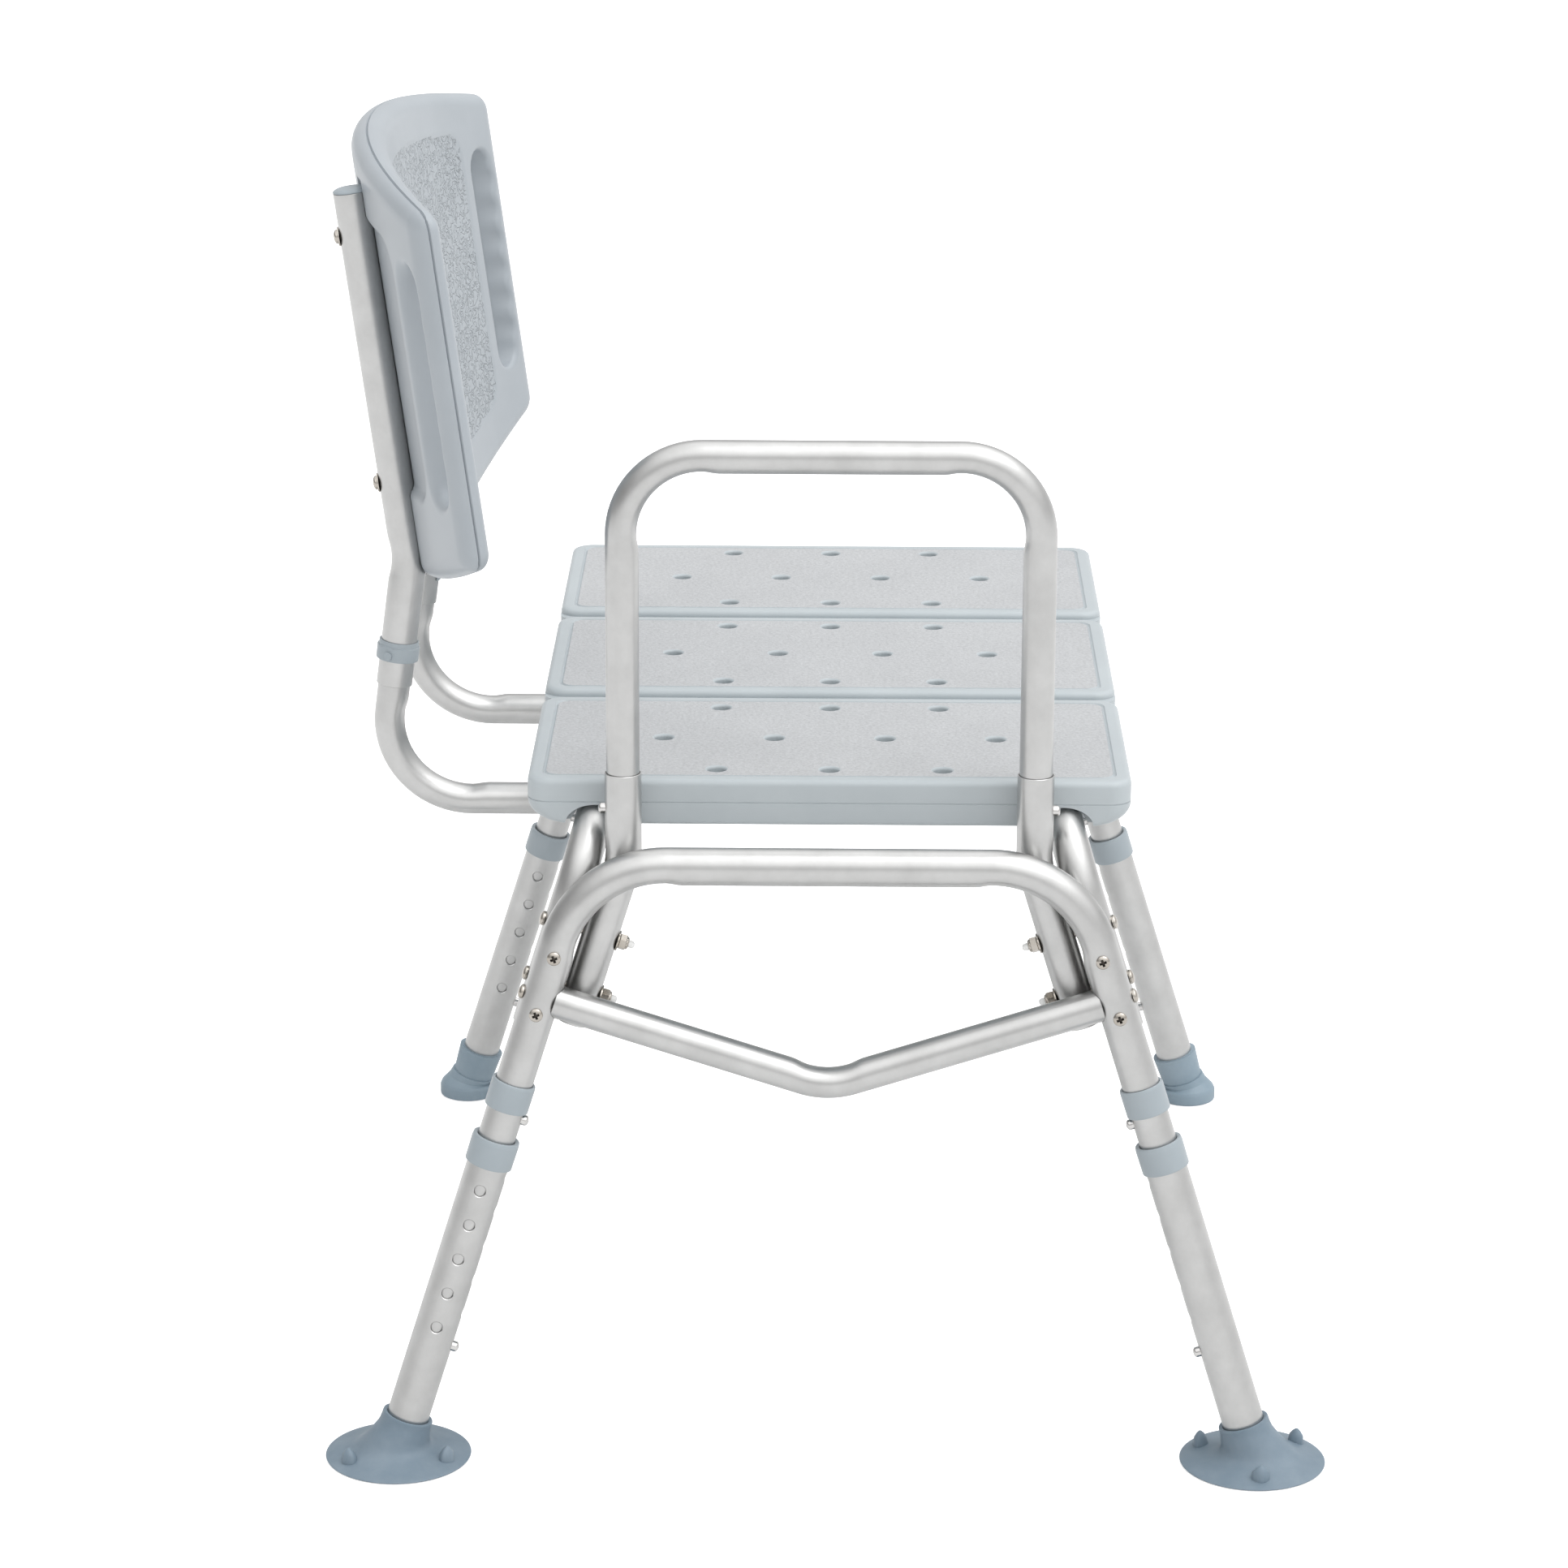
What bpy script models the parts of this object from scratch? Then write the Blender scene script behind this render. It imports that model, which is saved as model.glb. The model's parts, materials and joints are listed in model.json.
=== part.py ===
"""Bath transfer bench: three-panel seat on an aluminium frame, lift-off backrest and arm rail,
four telescoping legs, two of them on suction cups.

Metres, +Z up, the floor at Z = 0.  The user sits facing -Y.  The arm rail and the suction cups
are at the -X end.
"""
import math

import bmesh
import bpy
from mathutils import Matrix, Vector

GAP = 0.0004                 # clearance between neighbouring solids
PAST = 0.0120                # how far a cutter runs past the face it cuts
SIDES = 12                   # facets round a tube
BEND_STEPS = 3               # segments in a tube's bend
HOLE_SIDES = 8               # facets round a hole or a small turned piece
FOOT_SIDES = 12
ARC_STEPS = 6                # segments in a half-round cut

# Seat
SEAT_TOP_Z = 0.4625
SEAT_BOTTOM_Z = 0.4310
SEAT_EDGE = ((0.4310, 0.0200, 0.0030), (0.4335, 0.0120, 0.0008), (0.4385, 0.0050, 0.0),
             (0.4460, 0.0010, 0.0), (0.4575, 0.0, 0.0))   # height, inset at the sides, at the ends
PLATEAU_EDGE = ((0.4575, 0.0), (0.4605, 0.0008), (0.4625, 0.0036))   # height, inset
LEDGE_LIFT = 0.00002         # keeps the plateau's lowest ring apart from the ledge's
SEAT_X = 0.0477              # middle of the seat along the bench
SEAT_HALF_WIDTH = 0.2030
PANEL_PITCH = 0.2132
PLATEAU_LENGTH = 0.1990
PANEL_CORNER_R = 0.015
HOLE_ROW_PITCH = 0.0731
HOLE_SPACING = 0.0762
HOLE_R = 0.0065
SKIRT_WALL = 0.005           # end wall left between a rail channel and the seat's end
ARCH_TOP_Z = 0.4448
ARCH_HALF_WIDTH = 0.0205
CHANNEL_CLEARANCE = 0.0007
CHANNEL_FLARE = 0.0120

# Tubes: outer radius and wall
FRAME_R = 0.0127
FRAME_WALL = 0.0014
SLIM_R = 0.0111
SLIM_WALL = 0.0012
SLEEVE_R = 0.0123
SLEEVE_WALL = 0.0008
LOWER_R = 0.0143
LOWER_WALL = 0.0012

# Legs: axis x = FRAME_X +- (LEG_X_FLOOR - SPLAY z), y = +-(LEG_Y_FLOOR - SPREAD z)
FRAME_X = 0.0110
LEG_X_FLOOR = 0.3490
LEG_Y_FLOOR = 0.29396
SPLAY = 0.0640
SPREAD = 0.3136
END_BAR_Z = 0.4170
END_BEND_R = 0.0750
LEG_FRAME_END_Z = 0.0690
LEG_PITCH = 0.0254
LOCK_Z = 0.0843              # height on the leg axis of the lowest hole and its button
UPPER_BUTTON_Z = 0.2446
FRONT_HOLES_Z = 0.0979
LEG_HOLE_R = 0.0042
LOWER_TOP_Z = 0.2272
LOWER_END_Z = 0.0140
LOWER_COLLAR_Z = (0.2102, 0.2290)
UPPER_COLLAR_Z = (0.2495, 0.2682)
LOWER_COLLAR_R = 0.0161
UPPER_COLLAR_R = 0.0149

# Rails under the seat, arm sockets and braces
RAIL_Z = 0.4370
RAIL_STEP_X = 0.0258         # from a leg frame's axis to the rail's, along X
RAIL_BEND_R = 0.0550
RAIL_END_Z = 0.2990
SOCKET_STEP_Y = 0.0275
SOCKET_Y = 0.1373
SOCKET_TOP_Z = 0.4744
SOCKET_BEND_R = 0.0600
SOCKET_END_Z = 0.3010
SOCKET_BOLT_Z = (0.3685, 0.3305)
BRACE_END_Z = 0.3265
BRACE_BEND_R = 0.0550
SCREW_R = 0.0022
BOLT_R = 0.0029
HOLE_CLEARANCE = 0.0005

# Arm rail
ARM_TOP_Z = 0.6900
ARM_BEND_R = 0.0530
ARM_END_Z = 0.4250
ARM_BUTTON_Z = 0.4494

# Back supports and posts
BACK_X = -0.0410
POST_STEP_X = 0.1088
POST_LEAN = 0.1316           # forward lean of the lower stretch, per metre of height
POST_TILT = 0.1350           # backward tilt of the upper stretch, per metre of height
SUPPORT_Z = 0.4129
SUPPORT_END_Y = -0.1750
SUPPORT_TOP_Z = 0.5600
SUPPORT_BEND_R = 0.0560
POST_BEND_R = 0.0600
POST_KNEE_Y = 0.28875
POST_KNEE_Z = 0.5856
POST_BOTTOM_Z = 0.4955
POST_TOP_Z = 0.8380
BACK_COLLAR_Z = 0.5200
BACK_SCREW_Z = (0.8090, 0.6394)

# Backrest panel, in its own frame: x across, t forward, h up along the tilt
BACK_ORIGIN_Y = 0.3192
BACK_ORIGIN_Z = 0.8702
BACK_WIDTH = 0.4736
BACK_WRAP = 0.0536           # how far the wings come forward
BACK_TOP_DROP = 0.0320       # from the middle of the top edge to the wings
BACK_HEIGHT = 0.3114
BACK_BOTTOM_RISE = 0.0423
BACK_HALF_MIDDLE = 0.0125    # half thickness in the middle
BACK_HALF_WING = 0.0098
BACK_EDGE_R = 0.0100
BACK_CORNER_R = 0.0150
GRIP_X = 0.2070
GRIP_HALF_WIDTH = 0.0140
GRIP_TOP_H = -0.0680
GRIP_BOTTOM_H = -0.2300
GRIP_FINGERS = 6
FINGER_DEPTH = 0.0030

# Feet
CUP_R = 0.0493
CUP_X_FLOOR = 0.3450
CUP_Y = 0.2917
TIP_R = 0.0230
TAB_R = 0.0375               # from a suction cup's middle to its release tabs
TAB_HALF_DEPTH = 0.0022
TAB_HALF_WIDTH = 0.0050
TAB_Z = (0.0036, 0.0150)
TAB_TURN = 94                # degrees round from +X to the back cup's first tab

# Buttons
BUTTON_R = 0.0036
BUTTON_PROUD = 0.0046
HOLE_REACH = (0.0040, 0.0200)   # from a tube's axis, where a cutter for one wall starts and ends

MATERIALS = {
    "aluminium": ((0.62, 0.62, 0.61, 1), 0.32, 1.0),
    "seat_plastic": ((0.52, 0.56, 0.59, 1), 0.55, 0.0),
    "back_plastic": ((0.45, 0.50, 0.54, 1), 0.50, 0.0),
    "collar_plastic": ((0.36, 0.43, 0.48, 1), 0.45, 0.0),
    "rubber": ((0.24, 0.31, 0.37, 1), 0.60, 0.0),
    "steel": ((0.66, 0.64, 0.61, 1), 0.22, 1.0),
}


def clear_scene():
    for item in list(bpy.data.objects):
        bpy.data.objects.remove(item, do_unlink=True)


def material(name):
    found = bpy.data.materials.get(name)
    if found:
        return found
    colour, roughness, metallic = MATERIALS[name]
    made = bpy.data.materials.new(name)
    made.use_nodes = True
    shader = made.node_tree.nodes["Principled BSDF"]
    shader.inputs["Base Color"].default_value = colour
    shader.inputs["Roughness"].default_value = roughness
    shader.inputs["Metallic"].default_value = metallic
    made.diffuse_color = colour
    return made


def body_empty(name, location):
    """An empty that stands for one rigid body, at a point on the body's joint axis."""
    empty = bpy.data.objects.new(name, None)
    bpy.context.collection.objects.link(empty)
    empty.location = location
    return empty


def solid(name, points, faces, look, origin=None, parent=None):
    """A closed object from world points, with its origin moved to a named place."""
    mesh = bpy.data.meshes.new(name)
    origin = Vector(origin) if origin is not None else sum(points, Vector()) / len(points)
    mesh.from_pydata([point - origin for point in points], [], faces)
    shape = bmesh.new()
    shape.from_mesh(mesh)
    bmesh.ops.recalc_face_normals(shape, faces=shape.faces)
    shape.to_mesh(mesh)
    shape.free()
    item = bpy.data.objects.new(name, mesh)
    bpy.context.collection.objects.link(item)
    item.location = origin
    if look is not None:
        mesh.materials.append(material(look))
        mesh.shade_smooth()
        mesh.set_sharp_from_angle(angle=math.radians(40))
    if parent is not None:
        item.parent = parent
        item.location = origin - parent.location
    return item


def cut(target, cutter):
    cutter.hide_render = True
    cutter.display_type = "WIRE"
    change = target.modifiers.new("cut", "BOOLEAN")
    change.operation = "DIFFERENCE"
    change.solver = "EXACT"
    change.object = cutter


def join(target, extra):
    extra.hide_render = True
    extra.display_type = "WIRE"
    change = target.modifiers.new("join", "BOOLEAN")
    change.operation = "UNION"
    change.solver = "EXACT"
    change.object = extra


def across(axis, reference):
    """Two unit vectors square to axis, the first as near to reference as it can be."""
    axis = axis.normalized()
    first = (reference - axis * reference.dot(axis)).normalized()
    return first, axis.cross(first)


def circle(centre, first, second, radius, sides=SIDES):
    turn = 2 * math.pi / sides
    return [centre + (first * math.cos(k * turn) + second * math.sin(k * turn)) * radius
            for k in range(sides)]


def strip_faces(start_a, start_b, sides):
    return [(start_a + k, start_a + (k + 1) % sides, start_b + (k + 1) % sides, start_b + k)
            for k in range(sides)]


def turned_mesh(base, axis, reference, profile, sides):
    """Points and faces of a turned solid.  profile lists (radius, distance along the axis) from
    one end to the other.  If it starts and ends off the axis it is closed on itself, as a ring."""
    axis = Vector(axis).normalized()
    first, second = across(axis, Vector(reference))
    points = []
    rings = []
    for radius, distance in profile:
        centre = Vector(base) + axis * distance
        rings.append((len(points), radius))
        if radius == 0:
            points.append(centre)
        else:
            points.extend(circle(centre, first, second, radius, sides))
    faces = []
    pairs = list(zip(rings, rings[1:]))
    if profile[0][0] != 0 and profile[-1][0] != 0:
        pairs.append((rings[-1], rings[0]))
    for (start_a, radius_a), (start_b, radius_b) in pairs:
        if radius_a == 0:
            faces += [(start_a, start_b + (k + 1) % sides, start_b + k) for k in range(sides)]
        elif radius_b == 0:
            faces += [(start_a + k, start_a + (k + 1) % sides, start_b) for k in range(sides)]
        else:
            faces += strip_faces(start_a, start_b, sides)
    return points, faces


def turned(name, base, axis, reference, profile, look, sides=SIDES, origin=None, parent=None):
    points, faces = turned_mesh(base, axis, reference, profile, sides)
    return solid(name, points, faces, look, origin, parent)


def bent_path(corners, bend_radius, steps=BEND_STEPS):
    """Centres and directions along a run of straight tubes joined by round bends."""
    centres = [corners[0]]
    directions = [(corners[1] - corners[0]).normalized()]
    for before, corner, after in zip(corners, corners[1:], corners[2:]):
        come = (corner - before).normalized()
        leave = (after - corner).normalized()
        angle = come.angle(leave)
        reach = bend_radius * math.tan(angle / 2)
        inward = (leave - come).normalized()
        hub = corner + inward * (bend_radius / math.cos(angle / 2))
        start = corner - come * reach - hub
        hinge = come.cross(leave).normalized()
        for k in range(steps + 1):
            turn = Matrix.Rotation(angle * k / steps, 3, hinge)
            centres.append(hub + turn @ start)
            directions.append(turn @ come)
    centres.append(corners[-1])
    directions.append((corners[-1] - corners[-2]).normalized())
    return centres, directions


def tube(name, corners, bend_radius, radius, wall, reference, look="aluminium",
         parent=None, origin=None, steps=BEND_STEPS):
    """A hollow round tube along corners, bent to bend_radius at each inner one."""
    centres, directions = bent_path(corners, bend_radius, steps)
    points = []
    reference = Vector(reference)
    for centre, direction in zip(centres, directions):
        first, second = across(direction, reference)
        reference = first
        points += circle(centre, first, second, radius)
        points += circle(centre, first, second, radius - wall)
    faces = []
    step = 2 * SIDES
    for k in range(len(centres) - 1):
        faces += strip_faces(k * step, (k + 1) * step, SIDES)
        faces += strip_faces((k + 1) * step + SIDES, k * step + SIDES, SIDES)
    last = (len(centres) - 1) * step
    faces += strip_faces(SIDES, 0, SIDES)
    faces += strip_faces(last, last + SIDES, SIDES)
    return solid(name, points, faces, look, origin, parent)


def wall_hole(centre, out, radius):
    """The rod that cuts a round hole through one wall of a tube."""
    start, end = HOLE_REACH
    return centre + out * start, centre + out * end, radius


def rod_cutter(name, rods, sides=HOLE_SIDES):
    """One cutter made of several solid rods, each (start, end, radius)."""
    points = []
    faces = []
    for start, end, radius in rods:
        axis = end - start
        helper = Vector((0, 0, 1)) if abs(axis.normalized().z) < 0.7 else Vector((1, 0, 0))
        first, second = across(axis, helper)
        base = len(points)
        points += circle(start, first, second, radius, sides)
        points += circle(end, first, second, radius, sides)
        faces += strip_faces(base, base + sides, sides)
        faces.append(tuple(base + k for k in reversed(range(sides))))
        faces.append(tuple(base + sides + k for k in range(sides)))
    return solid(name, points, faces, None)


# ---------------------------------------------------------------- legs: shared geometry

def leg_point(end, side, z, step_x=0.0, step_y=0.0):
    """A point on a leg's axis, or on a line beside it."""
    x = FRAME_X + end * (LEG_X_FLOOR - SPLAY * z - step_x)
    return Vector((x, side * (LEG_Y_FLOOR - SPREAD * z - step_y), z))


def leg_down(end, side):
    return Vector((end * SPLAY, side * SPREAD, -1)).normalized()


def leg_inward(side):
    """Square to the leg and in the plane of Y and Z, pointing to the bench's middle."""
    return Vector((0, -side, -SPREAD)).normalized()


def plane_normal(end):
    """Normal of the plane that an end's leg frame lies in, pointing out of the bench."""
    return Vector((end, 0, SPLAY)).normalized()


def end_name(end):
    return "rail_end" if end < 0 else "far_end"


def side_name(side):
    return "back" if side > 0 else "front"


# ---------------------------------------------------------------- seat

def rounded_rectangle(x0, x1, half_y, corner, z, steps=3):
    points = []
    for cx, cy, start in ((x1 - corner, half_y - corner, 0), (x0 + corner, half_y - corner, 1),
                          (x0 + corner, corner - half_y, 2), (x1 - corner, corner - half_y, 3)):
        for k in range(steps + 1):
            angle = (start + k / steps) * math.pi / 2
            points.append(Vector((cx + corner * math.cos(angle), cy + corner * math.sin(angle), z)))
    return points


def panel_holes(middle_x):
    """Centres of a panel's drain holes: rows of three, four and three."""
    centres = []
    for row, count in enumerate((3, 4, 3)):
        x = middle_x + (row - 1) * HOLE_ROW_PITCH
        for k in range(count):
            centres.append((x, (k - (count - 1) / 2) * HOLE_SPACING))
    return centres


def seat_panel(number, root):
    """One seat panel.  number is -1 at the arm rail, 0 in the middle and 1 at the far end."""
    middle = SEAT_X + number * PANEL_PITCH
    plateau = (middle - PLATEAU_LENGTH / 2, middle + PLATEAU_LENGTH / 2)
    seam = PANEL_PITCH / 2 - GAP / 2
    low_x = plateau[0] if number == -1 else middle - seam
    high_x = plateau[1] if number == 1 else middle + seam
    layers = []
    for z, inset_y, inset_x in SEAT_EDGE:
        layers.append(rounded_rectangle(low_x + inset_x, high_x - inset_x,
                                        SEAT_HALF_WIDTH - inset_y, PANEL_CORNER_R, z))
    for z, inset in PLATEAU_EDGE:
        layers.append(rounded_rectangle(plateau[0] + inset, plateau[1] - inset,
                                        SEAT_HALF_WIDTH - inset, PANEL_CORNER_R, z + LEDGE_LIFT))
    points = [point for layer in layers for point in layer]
    around = len(layers[0])
    faces = [tuple(reversed(range(around)))]
    for k in range(len(layers) - 1):
        faces += strip_faces(k * around, (k + 1) * around, around)
    faces.append(tuple(range(len(points) - around, len(points))))
    names = {-1: "seat_panel_rail_end", 0: "seat_panel_middle", 1: "seat_panel_far_end"}
    panel = solid(names[number], points, faces, "seat_plastic", (middle, 0, SEAT_BOTTOM_Z), root)
    rods = [(Vector((x, y, SEAT_BOTTOM_Z - PAST)), Vector((x, y, SEAT_TOP_Z + PAST)), HOLE_R)
            for x, y in panel_holes(middle)]
    cut(panel, rod_cutter(names[number] + "_holes", rods))
    rail_y = LEG_Y_FLOOR - SPREAD * RAIL_Z
    channel_low = low_x + SKIRT_WALL if number == -1 else low_x - PAST
    channel_high = high_x - SKIRT_WALL if number == 1 else high_x + PAST
    for side in (-1, 1):
        name = names[number] + "_channel_" + side_name(side)
        cut(panel, channel_cutter(name, channel_low, channel_high, side * rail_y))
        if number:
            wall = low_x if number == -1 else high_x
            cut(panel, arch_cutter(name + "_arch", wall - PAST, wall + PAST, side * rail_y))
    return panel


def prism_x(name, low_x, high_x, outline):
    """A prism along X over an outline of (y, z) points."""
    count = len(outline)
    points = [Vector((low_x, y, z)) for y, z in outline] + [Vector((high_x, y, z)) for y, z in outline]
    faces = strip_faces(0, count, count)
    faces.append(tuple(reversed(range(count))))
    faces.append(tuple(range(count, 2 * count)))
    return solid(name, points, faces, None)


def channel_cutter(name, low_x, high_x, y):
    """Round-topped channel that a rail lies in, flared and open below."""
    radius = FRAME_R + CHANNEL_CLEARANCE
    mouth = radius + CHANNEL_FLARE
    outline = [(y - mouth, SEAT_BOTTOM_Z - PAST), (y + mouth, SEAT_BOTTOM_Z - PAST)]
    for k in range(ARC_STEPS + 1):
        angle = math.pi * k / ARC_STEPS
        outline.append((y + radius * math.cos(angle), RAIL_Z + radius * math.sin(angle)))
    return prism_x(name, low_x, high_x, outline)


def arch_cutter(name, low_x, high_x, y):
    """Arch in the seat's end wall, where a rail bends down through it."""
    half = ARCH_HALF_WIDTH
    rise = ARCH_TOP_Z - SEAT_BOTTOM_Z
    outline = [(y - half, SEAT_BOTTOM_Z - PAST), (y + half, SEAT_BOTTOM_Z - PAST)]
    for k in range(ARC_STEPS + 1):
        angle = math.pi * k / ARC_STEPS
        outline.append((y + half * math.cos(angle), SEAT_BOTTOM_Z + rise * math.sin(angle)))
    return prism_x(name, low_x, high_x, outline)


# ---------------------------------------------------------------- frame

def leg_frame(end, root):
    """End frame: two legs and the bar between them, one bent tube."""
    corners = [leg_point(end, 1, LEG_FRAME_END_Z), leg_point(end, 1, END_BAR_Z),
               leg_point(end, -1, END_BAR_Z), leg_point(end, -1, LEG_FRAME_END_Z)]
    frame = tube("leg_frame_" + end_name(end), corners, END_BEND_R, FRAME_R, FRAME_WALL,
                 plane_normal(end), parent=root)
    rods = []
    for side in (-1, 1):
        for z in (LOCK_Z, UPPER_BUTTON_Z):
            rods.append(wall_hole(leg_point(end, side, z), leg_inward(side), BUTTON_R + GAP))
    cut(frame, rod_cutter("leg_frame_holes_" + end_name(end), rods))
    return frame


def seat_rail(side, root):
    """Rail under the seat: bent down at both ends to lie against the leg frames."""
    corners = [leg_point(end, side, z, step_x=RAIL_STEP_X)
               for end, z in ((-1, RAIL_END_Z), (-1, RAIL_Z), (1, RAIL_Z), (1, RAIL_END_Z))]
    rail = tube("seat_rail_" + side_name(side), corners, RAIL_BEND_R, FRAME_R, FRAME_WALL,
                (0, 1, 0), parent=root)
    cut(rail, rod_cutter("rail_bolt_holes_" + side_name(side), bolt_hole_rods(side)))
    return rail


def bolt_hole_rods(side):
    rods = []
    for z in SOCKET_BOLT_Z:
        centre = leg_point(-1, side, z, step_x=RAIL_STEP_X)
        rods.append((centre - leg_inward(side) * SOCKET_STEP_Y, centre + leg_inward(side) * 2 * SOCKET_STEP_Y,
                     BOLT_R + HOLE_CLEARANCE))
    return rods


def arm_socket(side, root):
    """Upright socket for the arm rail, bent to lie beside the seat rail's leg."""
    top_x = leg_point(-1, side, socket_corner_z(), step_x=RAIL_STEP_X).x
    corners = [Vector((top_x, side * SOCKET_Y, SOCKET_TOP_Z)),
               Vector((top_x, side * SOCKET_Y, socket_corner_z())),
               leg_point(-1, side, SOCKET_END_Z, step_x=RAIL_STEP_X, step_y=SOCKET_STEP_Y)]
    socket = tube("arm_socket_" + side_name(side), corners, SOCKET_BEND_R, SLEEVE_R, SLEEVE_WALL,
                  (0, 1, 0), parent=root, steps=2)
    cut(socket, rod_cutter("socket_bolt_holes_" + side_name(side), bolt_hole_rods(side)))
    button = Vector((top_x, side * SOCKET_Y, ARM_BUTTON_Z))
    out = Vector((0, side, 0))
    cut(socket, rod_cutter("socket_button_hole_" + side_name(side),
                           [wall_hole(button, out, BUTTON_R + GAP)]))
    return socket


def socket_corner_z():
    return (LEG_Y_FLOOR - SOCKET_STEP_Y - SOCKET_Y) / SPREAD


def socket_bolt(side, z, number, root):
    """Bolt through rail and socket, with its washer, nut and cap in one turned solid."""
    inward = leg_inward(side)
    centre = leg_point(-1, side, z, step_x=RAIL_STEP_X)
    near = -FRAME_R - GAP
    far = SOCKET_STEP_Y * -inward.y * side + SLEEVE_R + GAP
    profile = [(0, near - 0.0042), (0.0042, near - 0.0030), (0.0050, near), (BOLT_R, near),
               (BOLT_R, far), (0.0068, far), (0.0068, far + 0.0012), (0.0054, far + 0.0012),
               (0.0054, far + 0.0082), (0.0024, far + 0.0088), (0, far + 0.0130)]
    return turned("socket_bolt_{}_{}".format(side_name(side), number), centre, inward, (1, 0, 0),
                  profile, "steel", sides=HOLE_SIDES, parent=root)


def brace(end, root):
    """Shallow V between an end frame's legs, its ends shaped to the legs."""
    ends = [leg_point(end, side, BRACE_END_Z) for side in (1, -1)]
    reach = abs(ends[0].y)
    low_z = BRACE_END_Z - reach * SPREAD
    low = Vector((FRAME_X + end * (LEG_X_FLOOR - SPLAY * low_z), 0, low_z))
    bar = tube("brace_" + end_name(end), [ends[0], low, ends[1]], BRACE_BEND_R, SLIM_R, SLIM_WALL,
               plane_normal(end), parent=root)
    rods = [(leg_point(end, side, BRACE_END_Z - 0.06), leg_point(end, side, BRACE_END_Z + 0.06),
             FRAME_R + GAP) for side in (-1, 1)]
    cut(bar, rod_cutter("brace_cope_" + end_name(end), rods, sides=SIDES))
    trim_brace_stubs(bar, end)
    return bar


def trim_brace_stubs(bar, end):
    """Removes what is left of the brace beyond the legs' axes."""
    points = []
    faces = []
    for side in (-1, 1):
        axis_point = leg_point(end, side, BRACE_END_Z)
        out = -leg_inward(side)
        up = -leg_down(end, side)
        flat = out.cross(up)
        base = len(points)
        for along in (-FRAME_R / 2, 2 * FRAME_R):
            for a, b in ((-1, -1), (1, -1), (1, 1), (-1, 1)):
                points.append(axis_point + out * along + up * (a * 2 * SLIM_R) + flat * (b * 2 * SLIM_R))
        faces += strip_faces(base, base + 4, 4)
        faces.append((base, base + 1, base + 2, base + 3))
        faces.append((base + 7, base + 6, base + 5, base + 4))
    cut(bar, solid("brace_trim_" + end_name(end), points, faces, None))


# ---------------------------------------------------------------- legs

def lower_leg(end, side, body):
    """Telescoping lower tube with its two rows of height holes, a quarter turn apart.
    The four legs are the same piece, so the second row faces -X at the back and +X in front."""
    name = "lower_leg_{}_{}".format(end_name(end), side_name(side))
    corners = [leg_point(end, side, LOWER_TOP_Z), leg_point(end, side, LOWER_END_Z)]
    leg = tube(name, corners, 0, LOWER_R, LOWER_WALL, plane_normal(end), parent=body,
               origin=corners[0])
    up = -leg_down(end, side)
    rods = []
    for k in range(6):
        centre = leg_point(end, side, LOCK_Z) + up * (k * LEG_PITCH)
        rods.append(wall_hole(centre, leg_inward(side), LEG_HOLE_R))
    for k in range(5):
        centre = leg_point(end, side, FRONT_HOLES_Z) + up * (k * LEG_PITCH)
        rods.append(wall_hole(centre, plane_normal(end) * (-side * end), LEG_HOLE_R))
    cut(leg, rod_cutter(name + "_holes", rods, sides=6))
    return leg


def lower_collar(end, side, body):
    """Plastic bush over the lower tube's top, closing in on the frame tube."""
    low, high = (leg_point(end, side, z) for z in LOWER_COLLAR_Z)
    length = (high - low).length
    lip = length - (leg_point(end, side, LOWER_TOP_Z) - low).length - GAP
    inner = LOWER_R + GAP
    profile = [(inner, 0), (LOWER_COLLAR_R, 0), (LOWER_COLLAR_R, length - 0.001),
               (LOWER_COLLAR_R - 0.001, length), (FRAME_R + GAP, length),
               (FRAME_R + GAP, length - lip), (inner, length - lip)]
    return turned("lower_collar_{}_{}".format(end_name(end), side_name(side)), low,
                  -leg_down(end, side), plane_normal(end), profile, "collar_plastic", parent=body)


def upper_collar(end, side, root):
    """Plastic stop ring on the frame's leg."""
    low, high = (leg_point(end, side, z) for z in UPPER_COLLAR_Z)
    length = (high - low).length
    inner = FRAME_R + GAP
    profile = [(inner, 0), (UPPER_COLLAR_R, 0), (UPPER_COLLAR_R, length - 0.001),
               (UPPER_COLLAR_R - 0.001, length), (inner, length)]
    return turned("upper_collar_{}_{}".format(end_name(end), side_name(side)), low,
                  -leg_down(end, side), plane_normal(end), profile, "collar_plastic", parent=root)


def button(name, centre, out, inner, outer, body):
    """Spring button with a domed tip.  inner and outer are distances from the tube's axis."""
    profile = [(0, inner), (BUTTON_R, inner), (BUTTON_R, outer - 0.0015),
               (BUTTON_R * 0.6, outer - 0.0002), (0, outer)]
    return turned(name, centre, out, (1, 0, 0) if abs(out.x) < 0.5 else (0, 0, 1), profile, "steel",
                  sides=HOLE_SIDES, origin=centre, parent=body)


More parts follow.
